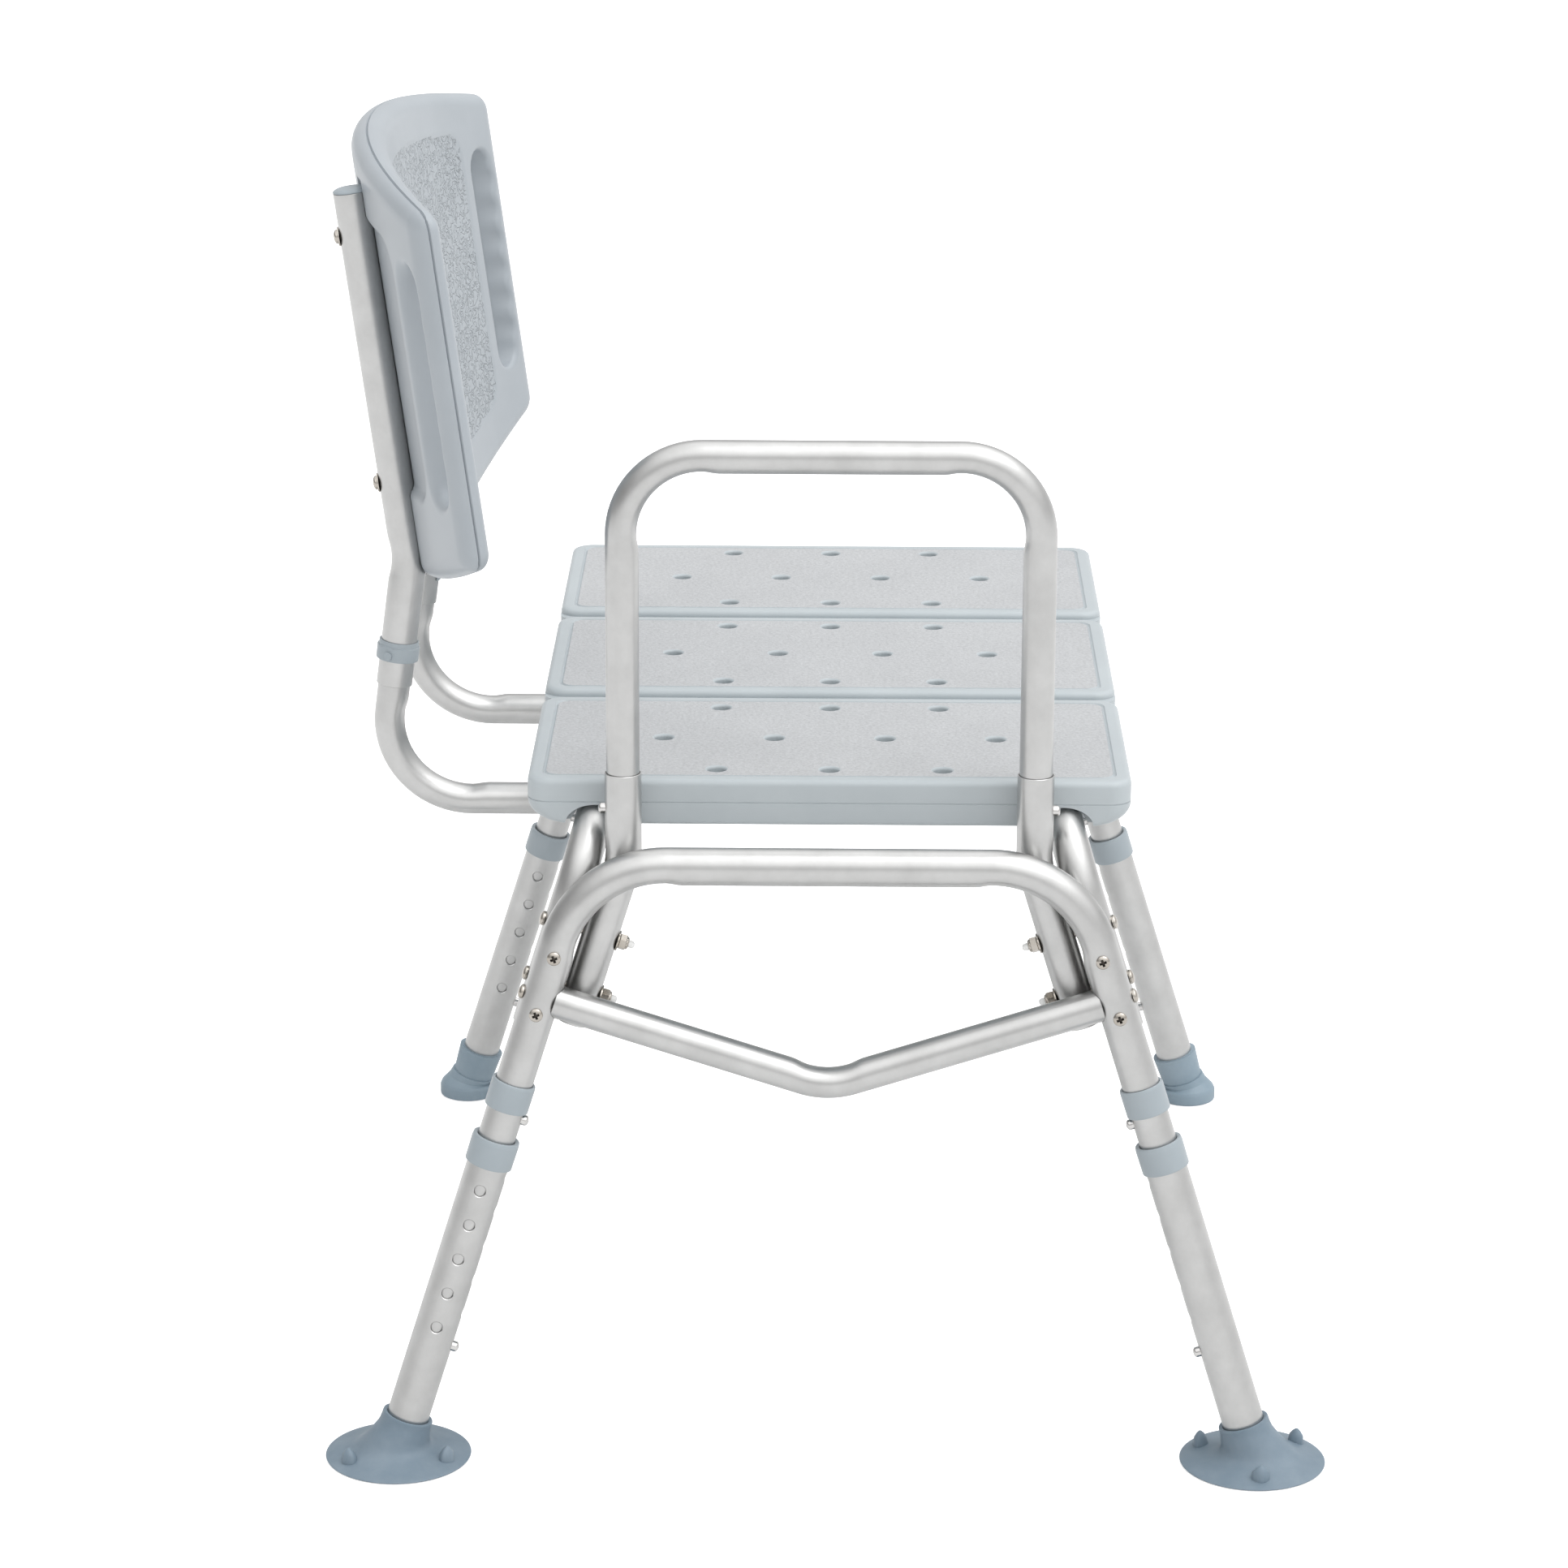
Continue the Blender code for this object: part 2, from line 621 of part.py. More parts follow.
def foot_rings(name, floor_centre, end, side, rings, look, body):
    """A foot of stacked rings.  Each ring is (radius, height, lean, distance up the leg).
    lean 0 lies level at floor_centre; lean 1 is square to the leg at the distance given."""
    down = leg_down(end, side)
    level = Vector((0, 0, 1))
    points = []
    starts = []
    for radius, height, lean, distance in rings:
        low = Vector((floor_centre.x, floor_centre.y, height))
        high = leg_point(end, side, 0) - down * distance
        centre = low.lerp(high, lean)
        axis = level.lerp(-down, lean).normalized()
        first, second = across(axis, Vector((1, 0, 0)))
        starts.append((len(points), radius))
        if radius == 0:
            points.append(centre)
        else:
            points.extend(circle(centre, first, second, radius, FOOT_SIDES))
    faces = []
    for (start_a, radius_a), (start_b, radius_b) in zip(starts, starts[1:]):
        if radius_a == 0:
            faces += [(start_a, start_b + (k + 1) % FOOT_SIDES, start_b + k) for k in range(FOOT_SIDES)]
        elif radius_b == 0:
            faces += [(start_a + k, start_a + (k + 1) % FOOT_SIDES, start_b) for k in range(FOOT_SIDES)]
        else:
            faces += strip_faces(start_a, start_b, FOOT_SIDES)
    return solid(name, points, faces, look, parent=body)


def suction_cup(side, body):
    """Rubber suction cup: a level rim, a hollow underside and a neck along the leg."""
    centre = Vector((FRAME_X - CUP_X_FLOOR, side * CUP_Y, 0))
    socket_floor = (leg_point(-1, side, LOWER_END_Z) - leg_point(-1, side, 0)).length - GAP
    inner = LOWER_R + GAP
    rings = [(0, 0.0045, 0, 0), (0.0300, 0.0035, 0, 0), (0.0470, 0.0, 0, 0), (CUP_R, 0.0003, 0, 0),
             (CUP_R, 0.0016, 0, 0), (0.0450, 0.0035, 0, 0), (0.0340, 0.0075, 0.1, 0.0075),
             (0.0245, 0.0125, 0.6, 0.0125), (0.0185, 0.0, 1, 0.0175), (0.0162, 0.0, 1, 0.0225),
             (0.0160, 0.0, 1, 0.0320), (inner, 0.0, 1, 0.0320), (inner, 0.0, 1, socket_floor),
             (0, 0.0, 1, socket_floor)]
    cup = foot_rings("suction_cup_" + side_name(side), centre, -1, side, rings, "rubber", body)
    for k in range(3):
        angle = math.radians(TAB_TURN - side * 90 + k * 120)
        out = Vector((math.cos(angle), math.sin(angle), 0))
        join(cup, tab_block("suction_cup_tab_{}_{}".format(side_name(side), k), centre, out))
    return cup


def tab_block(name, centre, out):
    """Upright release tab on a suction cup."""
    sideways = Vector((-out.y, out.x, 0))
    points = []
    for z in TAB_Z:
        for a, b in ((-1, -1), (1, -1), (1, 1), (-1, 1)):
            points.append(centre + out * (TAB_R + a * TAB_HALF_DEPTH) + sideways * (b * TAB_HALF_WIDTH)
                          + Vector((0, 0, z)))
    faces = strip_faces(0, 4, 4) + [(3, 2, 1, 0), (4, 5, 6, 7)]
    return solid(name, points, faces, None)


def rubber_tip(side, body):
    """Plain rubber tip with a broad base."""
    centre = leg_point(1, side, 0.0045)
    socket_floor = (leg_point(1, side, LOWER_END_Z) - leg_point(1, side, 0)).length - GAP
    inner = LOWER_R + GAP
    rings = [(0, 0.0, 0, 0), (TIP_R - 0.001, 0.0, 0, 0), (TIP_R, 0.0012, 0, 0), (TIP_R, 0.0085, 0, 0),
             (TIP_R - 0.0015, 0.0110, 0.2, 0.0115), (0.0172, 0.0140, 0.8, 0.0150),
             (0.0166, 0.0, 1, 0.0190), (0.0162, 0.0, 1, 0.0410), (inner, 0.0, 1, 0.0410),
             (inner, 0.0, 1, socket_floor), (0, 0.0, 1, socket_floor)]
    return foot_rings("rubber_tip_" + side_name(side), centre, 1, side, rings, "rubber", body)


def leg(end, side, root):
    """One telescoping leg: its body, foot and lock button."""
    tag = "{}_{}".format(end_name(end), side_name(side))
    body = body_empty("leg_body_" + tag, leg_point(end, side, LOWER_TOP_Z))
    lower_leg(end, side, body)
    lower_collar(end, side, body)
    if end < 0:
        suction_cup(side, body)
    else:
        rubber_tip(side, body)
    upper_collar(end, side, root)
    button("leg_button_" + tag, leg_point(end, side, LOCK_Z), leg_inward(side),
           FRAME_R + GAP, LOWER_R + BUTTON_PROUD, body)
    button("spare_button_" + tag, leg_point(end, side, UPPER_BUTTON_Z), leg_inward(side),
           0.0080, FRAME_R + BUTTON_PROUD, root)


# ---------------------------------------------------------------- arm rail

def arm_rail(root):
    """Lift-off arm rail: an inverted U that stands in the two sockets."""
    x = leg_point(-1, 1, socket_corner_z(), step_x=RAIL_STEP_X).x
    body = body_empty("arm_body", (x, 0, ARM_END_Z))
    corners = [Vector((x, SOCKET_Y, ARM_END_Z)), Vector((x, SOCKET_Y, ARM_TOP_Z)),
               Vector((x, -SOCKET_Y, ARM_TOP_Z)), Vector((x, -SOCKET_Y, ARM_END_Z))]
    rail = tube("arm_rail", corners, ARM_BEND_R, SLIM_R, SLIM_WALL, (0, 1, 0), parent=body,
                origin=(x, 0, ARM_END_Z))
    rods = []
    for side in (-1, 1):
        centre = Vector((x, side * SOCKET_Y, ARM_BUTTON_Z))
        out = Vector((0, side, 0))
        rods.append(wall_hole(centre, out, BUTTON_R + GAP))
        button("arm_button_" + side_name(side), centre, out, SLIM_R + GAP,
               SLEEVE_R + BUTTON_PROUD, root)
    cut(rail, rod_cutter("arm_button_holes", rods))


# ---------------------------------------------------------------- backrest

def post_x(hand):
    return BACK_X + hand * POST_STEP_X


def hand_name(hand):
    return "rail_end" if hand < 0 else "far_end"


def lower_post_point(hand, z):
    """A point on the axis of the upright part of a back support and of the post's foot."""
    return Vector((post_x(hand), POST_KNEE_Y + POST_LEAN * (POST_KNEE_Z - z), z))


def upper_post_point(hand, z):
    return Vector((post_x(hand), POST_KNEE_Y + POST_TILT * (z - POST_KNEE_Z), z))


def post_up():
    return Vector((0, -POST_LEAN, 1)).normalized()


def back_support(hand, root):
    """L-shaped support: runs under both seat rails and turns up behind the seat."""
    name = "back_support_" + hand_name(hand)
    low = lower_post_point(hand, SUPPORT_Z)
    corners = [Vector((low.x, SUPPORT_END_Y, SUPPORT_Z)), low, lower_post_point(hand, SUPPORT_TOP_Z)]
    support = tube(name, corners, SUPPORT_BEND_R, SLIM_R, SLIM_WALL, (1, 0, 0), parent=root, steps=4)
    centre = lower_post_point(hand, BACK_COLLAR_Z)
    out = Vector((-hand, 0, 0))
    cut(support, rod_cutter(name + "_hole", [wall_hole(centre, out, BUTTON_R + GAP)]))
    return support


def back_post(hand, body):
    """Back post: a sleeve over the support, with a knee that tilts its upper part back."""
    name = "back_post_" + hand_name(hand)
    corners = [lower_post_point(hand, POST_BOTTOM_Z), lower_post_point(hand, POST_KNEE_Z),
               upper_post_point(hand, POST_TOP_Z)]
    post = tube(name, corners, POST_BEND_R, SLEEVE_R, SLEEVE_WALL, (1, 0, 0), parent=body,
                origin=corners[1], steps=2)
    out = Vector((-hand, 0, 0))
    centre = lower_post_point(hand, BACK_COLLAR_Z)
    rods = [wall_hole(centre, out, BUTTON_R + GAP)]
    forward = panel_axes()[1]
    for z in BACK_SCREW_Z:
        middle = upper_post_point(hand, z)
        rods.append((middle - forward * HOLE_REACH[1], middle + forward * HOLE_REACH[1],
                     SCREW_R + HOLE_CLEARANCE))
    cut(post, rod_cutter(name + "_holes", rods))
    return post


def post_cap(hand, body):
    """Plug in the top of a post."""
    up = panel_axes()[2]
    inner = SLEEVE_R - SLEEVE_WALL - GAP
    profile = [(0, -0.012), (inner, -0.012), (inner, GAP), (SLEEVE_R, GAP), (SLEEVE_R, 0.0016),
               (SLEEVE_R * 0.72, 0.0030), (0, 0.0034)]
    return turned("post_cap_" + hand_name(hand), upper_post_point(hand, POST_TOP_Z), up, (1, 0, 0),
                  profile, "collar_plastic", parent=body)


def back_collar(hand, body):
    """Clip round the foot of a post, open on the side where the lock button is.
    The two clips are the same piece, one of them upside down."""
    flip = 1 if hand < 0 else -1
    up = post_up() * flip
    base = lower_post_point(hand, BACK_COLLAR_Z) - up * 0.0065
    out = Vector((hand, 0, 0))
    second = up.cross(out)
    profile = [(0.0127, 0), (0.0143, 0), (0.0147, 0.001), (0.0147, 0.0090), (0.0143, 0.0098),
               (0.0136, 0.0100), (0.0136, 0.0134), (0.0127, 0.0134)]
    steps = 12
    half = math.radians(130)
    points = []
    for k in range(steps + 1):
        angle = -half + 2 * half * k / steps
        radial = out * math.cos(angle) + second * math.sin(angle)
        points += [base + radial * radius + up * distance for radius, distance in profile]
    count = len(profile)
    faces = []
    for k in range(steps):
        faces += strip_faces(k * count, (k + 1) * count, count)
    faces.append(tuple(range(count)))
    faces.append(tuple(reversed(range(steps * count, (steps + 1) * count))))
    return solid("back_collar_" + hand_name(hand), points, faces, "collar_plastic", parent=body)


def back_screw(hand, z, number, body):
    """Screw and washer that hold the backrest to a post."""
    forward = panel_axes()[1]
    near = -SLEEVE_R - GAP
    profile = [(0, near - 0.0050), (0.0034, near - 0.0046), (0.0048, near - 0.0028),
               (0.0049, near - 0.0012), (0.0066, near - 0.0012), (0.0066, near), (SCREW_R, near),
               (SCREW_R, 0.0215), (0, 0.0225)]
    return turned("back_screw_{}_{}".format(hand_name(hand), number), upper_post_point(hand, z),
                  forward, (1, 0, 0), profile, "steel", sides=HOLE_SIDES, parent=body)


def panel_axes():
    """The backrest's own axes: across, forward and up along the tilt."""
    up = Vector((0, POST_TILT, 1)).normalized()
    return Vector((1, 0, 0)), Vector((0, -up.z, up.y)), up


def panel_point(x, t, h):
    side, forward, up = panel_axes()
    origin = Vector((BACK_X, BACK_ORIGIN_Y, BACK_ORIGIN_Z))
    return origin + side * x + forward * t + up * h


def wing_share(x):
    return abs(x) / (BACK_WIDTH / 2)


def panel_edge(x, top):
    """Height of the top or the bottom edge at x, with rounded corners."""
    share = wing_share(x)
    past = abs(x) - (BACK_WIDTH / 2 - BACK_CORNER_R)
    corner = 0.0
    if past > 0:
        corner = BACK_CORNER_R - math.sqrt(max(BACK_CORNER_R ** 2 - past ** 2, 0))
    if top:
        return -BACK_TOP_DROP * share ** 2 - corner
    return -BACK_HEIGHT + BACK_BOTTOM_RISE * share ** 2 + corner


def panel_middle(x):
    return BACK_WRAP * wing_share(x) ** 2.1


def panel_half_thickness(x, inset):
    """Half thickness at x, rounded off within the edge radius of the outline."""
    full = BACK_HALF_MIDDLE + (BACK_HALF_WING - BACK_HALF_MIDDLE) * wing_share(x) ** 2
    near = 1 - min(inset / BACK_EDGE_R, 1)
    return full * math.sqrt(max(1 - near ** 2, 0))


def backrest_panel(body):
    """Backrest: a curved panel with rounded edges, two hand grips and a groove for each post."""
    half = BACK_WIDTH / 2
    insets = (0.0, 0.0008, 0.0030, BACK_EDGE_R)
    columns = [-half + inset for inset in insets]
    columns += [(-0.88 + 0.16 * k) * half for k in range(12)]
    columns += [half - inset for inset in reversed(insets)]
    grids = {}
    points = []
    rows = 2 * len(insets)
    for face in (1, -1):
        for i, x in enumerate(columns):
            low, high = panel_edge(x, False), panel_edge(x, True)
            heights = [low + inset for inset in insets] + [high - inset for inset in reversed(insets)]
            for j, h in enumerate(heights):
                inset = min(half - abs(x), h - low, high - h)
                rim = inset <= 1e-6
                if face == -1 and rim:
                    grids[-1, i, j] = grids[1, i, j]
                    continue
                t = panel_middle(x) + face * panel_half_thickness(x, inset)
                grids[face, i, j] = len(points)
                points.append(panel_point(x, t, h))
    faces = []
    for face in (1, -1):
        for i in range(len(columns) - 1):
            for j in range(rows - 1):
                quad = (grids[face, i, j], grids[face, i + 1, j], grids[face, i + 1, j + 1],
                        grids[face, i, j + 1])
                faces.append(quad if face == 1 else tuple(reversed(quad)))
    panel = solid("backrest_panel", points, faces, "back_plastic", panel_point(0, 0, 0), body)
    for hand in (-1, 1):
        cut(panel, grip_cutter(hand))
        cut(panel, groove_cutter(hand))
    cut(panel, screw_hole_cutter())
    return panel


def grip_cutter(hand):
    """Hand grip: a long slot with finger scallops along its outer wall."""
    outline = []
    length = GRIP_TOP_H - GRIP_BOTTOM_H
    arc = GRIP_HALF_WIDTH
    for k in range(5):
        angle = math.pi - math.pi * k / 4
        outline.append((arc * math.cos(angle), GRIP_TOP_H - arc + arc * math.sin(angle)))
    straight = length - 2 * arc
    steps = GRIP_FINGERS * 4
    for k in range(1, steps):
        share = k / steps
        wave = FINGER_DEPTH * math.sin(math.pi * GRIP_FINGERS * share) ** 2
        outline.append((arc + wave, GRIP_TOP_H - arc - straight * share))
    for k in range(5):
        angle = -math.pi * k / 4
        outline.append((arc * math.cos(angle), GRIP_BOTTOM_H + arc + arc * math.sin(angle)))
    count = len(outline)
    points = []
    for t in (-2 * BACK_HALF_MIDDLE, 2 * BACK_WRAP):
        points += [panel_point(hand * (GRIP_X + x), t, h) for x, h in outline]
    faces = strip_faces(0, count, count)
    faces.append(tuple(reversed(range(count))))
    faces.append(tuple(range(count, 2 * count)))
    return solid("grip_cutter_" + hand_name(hand), points, faces, None)


def groove_cutter(hand):
    """Groove in the panel's rear that a post lies in."""
    top = upper_post_point(hand, POST_TOP_Z + 0.0080)
    low = upper_post_point(hand, POST_KNEE_Z - 0.08)
    return rod_cutter("groove_cutter_" + hand_name(hand), [(low, top, SLEEVE_R + GAP)], sides=SIDES)


def screw_hole_cutter():
    forward = panel_axes()[1]
    rods = []
    for hand in (-1, 1):
        for z in BACK_SCREW_Z:
            centre = upper_post_point(hand, z)
            rods.append((centre, centre + forward * 0.0232, SCREW_R + HOLE_CLEARANCE))
    return rod_cutter("panel_screw_holes", rods)


def backrest(root):
    """Backrest assembly: lifts off its two supports along the posts' feet."""
    body = body_empty("back_body", (BACK_X, lower_post_point(1, POST_BOTTOM_Z).y, POST_BOTTOM_Z))
    backrest_panel(body)
    for hand in (-1, 1):
        back_support(hand, root)
        back_post(hand, body)
        post_cap(hand, body)
        back_collar(hand, body)
        for number, z in enumerate(BACK_SCREW_Z, 1):
            back_screw(hand, z, number, body)
        button("back_button_" + hand_name(hand), lower_post_point(hand, BACK_COLLAR_Z),
               Vector((-hand, 0, 0)), SLIM_R + GAP, SLEEVE_R + BUTTON_PROUD, body)


def main():
    clear_scene()
    root = body_empty("frame_body", (0, 0, 0))
    for number in (-1, 0, 1):
        seat_panel(number, root)
    for side in (-1, 1):
        seat_rail(side, root)
        arm_socket(side, root)
        for number, z in enumerate(SOCKET_BOLT_Z, 1):
            socket_bolt(side, z, number, root)
    for end in (-1, 1):
        leg_frame(end, root)
        brace(end, root)
        for side in (-1, 1):
            leg(end, side, root)
    arm_rail(root)
    backrest(root)
    bpy.context.view_layer.update()


main()
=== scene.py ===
"""Looks of the bath transfer bench: every CAD solid is replaced by a finer piece in the same place.

Metres, +Z up, the floor at Z = 0.  The user sits facing -Y.  The arm rail and the suction cups
are at the -X end.
"""
import json
import math

import bmesh
import bpy
import numpy
from mathutils import Matrix, Vector


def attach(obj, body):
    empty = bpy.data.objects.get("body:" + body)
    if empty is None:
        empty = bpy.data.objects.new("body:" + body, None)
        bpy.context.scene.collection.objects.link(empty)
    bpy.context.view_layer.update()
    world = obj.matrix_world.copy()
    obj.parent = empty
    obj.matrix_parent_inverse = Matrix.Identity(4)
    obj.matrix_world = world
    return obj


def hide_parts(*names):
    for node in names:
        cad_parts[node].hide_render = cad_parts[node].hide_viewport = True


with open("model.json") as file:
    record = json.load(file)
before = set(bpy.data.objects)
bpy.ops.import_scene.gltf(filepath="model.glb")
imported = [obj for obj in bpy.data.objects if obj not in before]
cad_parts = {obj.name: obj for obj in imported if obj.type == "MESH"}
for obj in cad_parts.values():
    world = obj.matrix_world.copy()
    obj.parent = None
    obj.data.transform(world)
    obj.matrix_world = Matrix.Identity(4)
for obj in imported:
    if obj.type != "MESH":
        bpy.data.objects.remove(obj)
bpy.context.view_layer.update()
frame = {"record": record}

BODY_OF = {node: body for body, nodes in frame["record"]["behaviour"]["bodies"].items() for node in nodes}

GAP = 0.0002
TUBE_SIDES = 72
SMALL_SIDES = 40
RING_SIDES = 96
BEND_STEPS = 18
RAMP_STEPS = 4               # steps in which a bend's flat comes in
SHARP = math.radians(32)
MANY_CORNERS = 12            # a face with more corners than this is a flat field

# Seat
SEAT_TOP_Z = 0.4625
SEAT_BOTTOM_Z = 0.4310
LEDGE_Z = 0.4575
SEAT_X = 0.0477
SEAT_HALF_WIDTH = 0.2030
PANEL_PITCH = 0.2132
PLATEAU_LENGTH = 0.1990
PANEL_CORNER_R = 0.0150
PLATEAU_R = 0.0042
BOTTOM_SIDE_R = (0.0200, 0.0150)   # inset and height of the skirt's rounding at the sides
BOTTOM_END_R = 0.0030
PARTING_Z = 0.4467
PARTING_DEPTH = 0.0004
GROOVE_INSET = 0.0098
GROOVE_WIDTH = 0.0024
GROOVE_DEPTH = 0.0013
GROOVE_CORNER_R = 0.0090
HOLE_ROW_PITCH = 0.0731
HOLE_SPACING = 0.0762
HOLE_R = 0.0062
HOLE_FLARE = 0.0022
SKIRT_WALL = 0.0050
ARCH_TOP_Z = 0.4448
ARCH_HALF_WIDTH = 0.0205

# Tubes
FRAME_R = 0.0127
FRAME_WALL = 0.0014
SLIM_R = 0.0111
SLIM_WALL = 0.0012
SLEEVE_R = 0.0123
SLEEVE_WALL = 0.0008
LOWER_R = 0.0143
LOWER_WALL = 0.0012
BEND_FLAT = 0.0014           # how far a bend's inner side is pressed in
BEND_RAMP = 0.0110

# Legs
FRAME_X = 0.0110
LEG_X_FLOOR = 0.3490
LEG_Y_FLOOR = 0.29396
SPLAY = 0.0640
SPREAD = 0.3136
END_BAR_Z = 0.4170
END_BEND_R = 0.0750
LEG_FRAME_END_Z = 0.0690
LEG_PITCH = 0.0254
LOCK_Z = 0.0843
UPPER_BUTTON_Z = 0.2446
FRONT_HOLES_Z = 0.0979
LEG_HOLE_R = 0.0040
HOLE_CHAMFER = 0.00045
LOWER_TOP_Z = 0.2272
LOWER_END_Z = 0.0140
LOWER_COLLAR_Z = (0.2102, 0.2290)
UPPER_COLLAR_Z = (0.2495, 0.2682)
LOWER_COLLAR_R = 0.0161
UPPER_COLLAR_R = 0.0149
FRAME_SCREW_Z = (0.3565, 0.3175)

# Rails, sockets, braces
RAIL_Z = 0.4370
RAIL_STEP_X = 0.0258
RAIL_BEND_R = 0.0550
RAIL_END_Z = 0.2990
SOCKET_STEP_Y = 0.0275
SOCKET_Y = 0.1373
SOCKET_TOP_Z = 0.4744
SOCKET_BEND_R = 0.0600
SOCKET_END_Z = 0.3010
SOCKET_BOLT_Z = (0.3685, 0.3305)
BRACE_END_Z = 0.3265
BRACE_BEND_R = 0.0550

# Arm rail
ARM_TOP_Z = 0.6900
ARM_BEND_R = 0.0530
ARM_END_Z = 0.4250
ARM_BUTTON_Z = 0.4494

# Back
BACK_X = -0.0410
POST_STEP_X = 0.1088
POST_LEAN = 0.1316
POST_TILT = 0.1350
SUPPORT_Z = 0.4129
SUPPORT_END_Y = -0.1750
SUPPORT_TOP_Z = 0.5600
SUPPORT_BEND_R = 0.0560
POST_BEND_R = 0.0600
POST_KNEE_Y = 0.28875
POST_KNEE_Z = 0.5856
POST_BOTTOM_Z = 0.4955
POST_TOP_Z = 0.8380
BACK_COLLAR_Z = 0.5200
BACK_SCREW_Z = (0.8090, 0.6394)
CLIP_HALF_TURN = math.radians(120)
CLIP_STEPS = 48
CLIP_PAD_R = 0.0030
BACK_ORIGIN_Y = 0.3192
BACK_ORIGIN_Z = 0.8702
BACK_WIDTH = 0.4736
BACK_WRAP = 0.0536
BACK_TOP_DROP = 0.0320
BACK_HEIGHT = 0.3114
BACK_BOTTOM_RISE = 0.0423
BACK_HALF_MIDDLE = 0.0125
BACK_HALF_WING = 0.0098
BACK_EDGE_R = 0.0118
BACK_CORNER_R = 0.0150
BACK_RECESS = 0.0045
GRIP_X = 0.2070
GRIP_HALF_WIDTH = 0.0140
GRIP_TOP_H = -0.0680
GRIP_BOTTOM_H = -0.2300
GRIP_FINGERS = 6
FINGER_DEPTH = 0.0030

# Feet
CUP_R = 0.0493
CUP_X_FLOOR = 0.3450
CUP_Y = 0.2917
TIP_R = 0.0230
TAB_R = 0.0375
TAB_TURN = 94
TAB_POWER = 1.2              # 1 gives an ellipse and 2 a diamond
TAB_LEAN = 0.08
CUP_STEPS = 6
FOOT_SHARP = math.radians(38)

BUTTON_R = 0.0036
BUTTON_PROUD = 0.0046
BUTTON_DOME = 0.0022
FLOOR_LIFT = 0.50            # keeps the paper under the bench near white


# ---------------------------------------------------------------- materials

def node(tree, kind, **settings):
    made = tree.nodes.new(kind)
    for name, value in settings.items():
        if name in made.inputs:
            made.inputs[name].default_value = value
        else:
            setattr(made, name, value)
    return made


def wire(source, target):
    source.id_data.links.new(source, target)


def new_material(name):
    made = bpy.data.materials.new(name)
    made.use_nodes = True
    return made, made.node_tree, made.node_tree.nodes["Principled BSDF"]


def noise(tree, place, scale, **settings):
    made = node(tree, "ShaderNodeTexNoise", Scale=scale, **settings)
    wire(place, made.inputs["Vector"])
    return made.outputs["Fac"]


def remap(tree, source, span, to_span, **settings):
    """Maps source from one (low, high) span to another."""
    made = node(tree, "ShaderNodeMapRange", **settings)
    for socket, value in zip(("From Min", "From Max", "To Min", "To Max"), (*span, *to_span)):
        made.inputs[socket].default_value = value
    wire(source, made.inputs["Value"])
    return made.outputs["Result"]


def bump(tree, height, strength, distance, over=None, invert=False):
    """The normal of a bump map, over another normal where one is given."""
    made = node(tree, "ShaderNodeBump", Strength=strength, Distance=distance)
    made.invert = invert
    wire(height, made.inputs["Height"])
    if over:
        wire(over, made.inputs["Normal"])
    return made.outputs["Normal"]


def blotches(tree, place, scale, dark, light, shader):
    """Slow colour variation between two near tones.  Gives back the noise that it follows."""
    slow = noise(tree, place, scale, Detail=4.0, Roughness=0.6)
    ramp = tree.nodes.new("ShaderNodeValToRGB")
    for element, position, colour in zip(ramp.color_ramp.elements, (0.30, 0.70), (dark, light)):
        element.position = position
        element.color = (*colour, 1)
    wire(slow, ramp.inputs["Fac"])
    wire(ramp.outputs["Color"], shader.inputs["Base Color"])
    return slow


def roughness_from(tree, source, low, high, shader):
    wire(remap(tree, source, (0.0, 1.0), (low, high)), shader.inputs["Roughness"])


def tone_over(tree, source, span, tones, shader):
    """Multiplies the base colour by a tone that follows source."""
    scale = node(tree, "ShaderNodeVectorMath", operation="SCALE")
    wire(shader.inputs["Base Color"].links[0].from_socket, scale.inputs[0])
    wire(remap(tree, source, span, tones), scale.inputs["Scale"])
    wire(scale.outputs["Vector"], shader.inputs["Base Color"])


def plastic(name, dark, light, rough, grain=0.0, grain_scale=900.0, soft=2.0):
    """Moulded plastic: tone variation, and a pebbled grain where grain is its height in metres."""
    made, tree, shader = new_material(name)
    place = tree.nodes.new("ShaderNodeTexCoord").outputs["Object"]
    slow = blotches(tree, place, soft * 9, dark, light, shader)
    roughness_from(tree, slow, rough - 0.05, rough + 0.05, shader)
    normal = bump(tree, noise(tree, place, 2600.0, Detail=2.0), 0.25, 0.00004)
    if grain:
        pebble = node(tree, "ShaderNodeTexVoronoi", Scale=grain_scale)
        pebble.feature = "SMOOTH_F1"
        wire(place, pebble.inputs["Vector"])
        normal = bump(tree, pebble.outputs["Distance"], 0.9, grain, over=normal, invert=True)
        # colour darker in the hollows between the pebbles and lighter on their tops, following the relief:
        # painted shade and painted highlight
        tone_over(tree, pebble.outputs["Distance"], (0.0, 0.7), (1.04, 0.88), shader)
        speckle = noise(tree, place, grain_scale * 0.6, Detail=2.0)
        tone_over(tree, speckle, (0.35, 0.65), (0.93, 1.06), shader)
    wire(normal, shader.inputs["Normal"])
    shader.inputs["Specular IOR Level"].default_value = 0.42
    return made


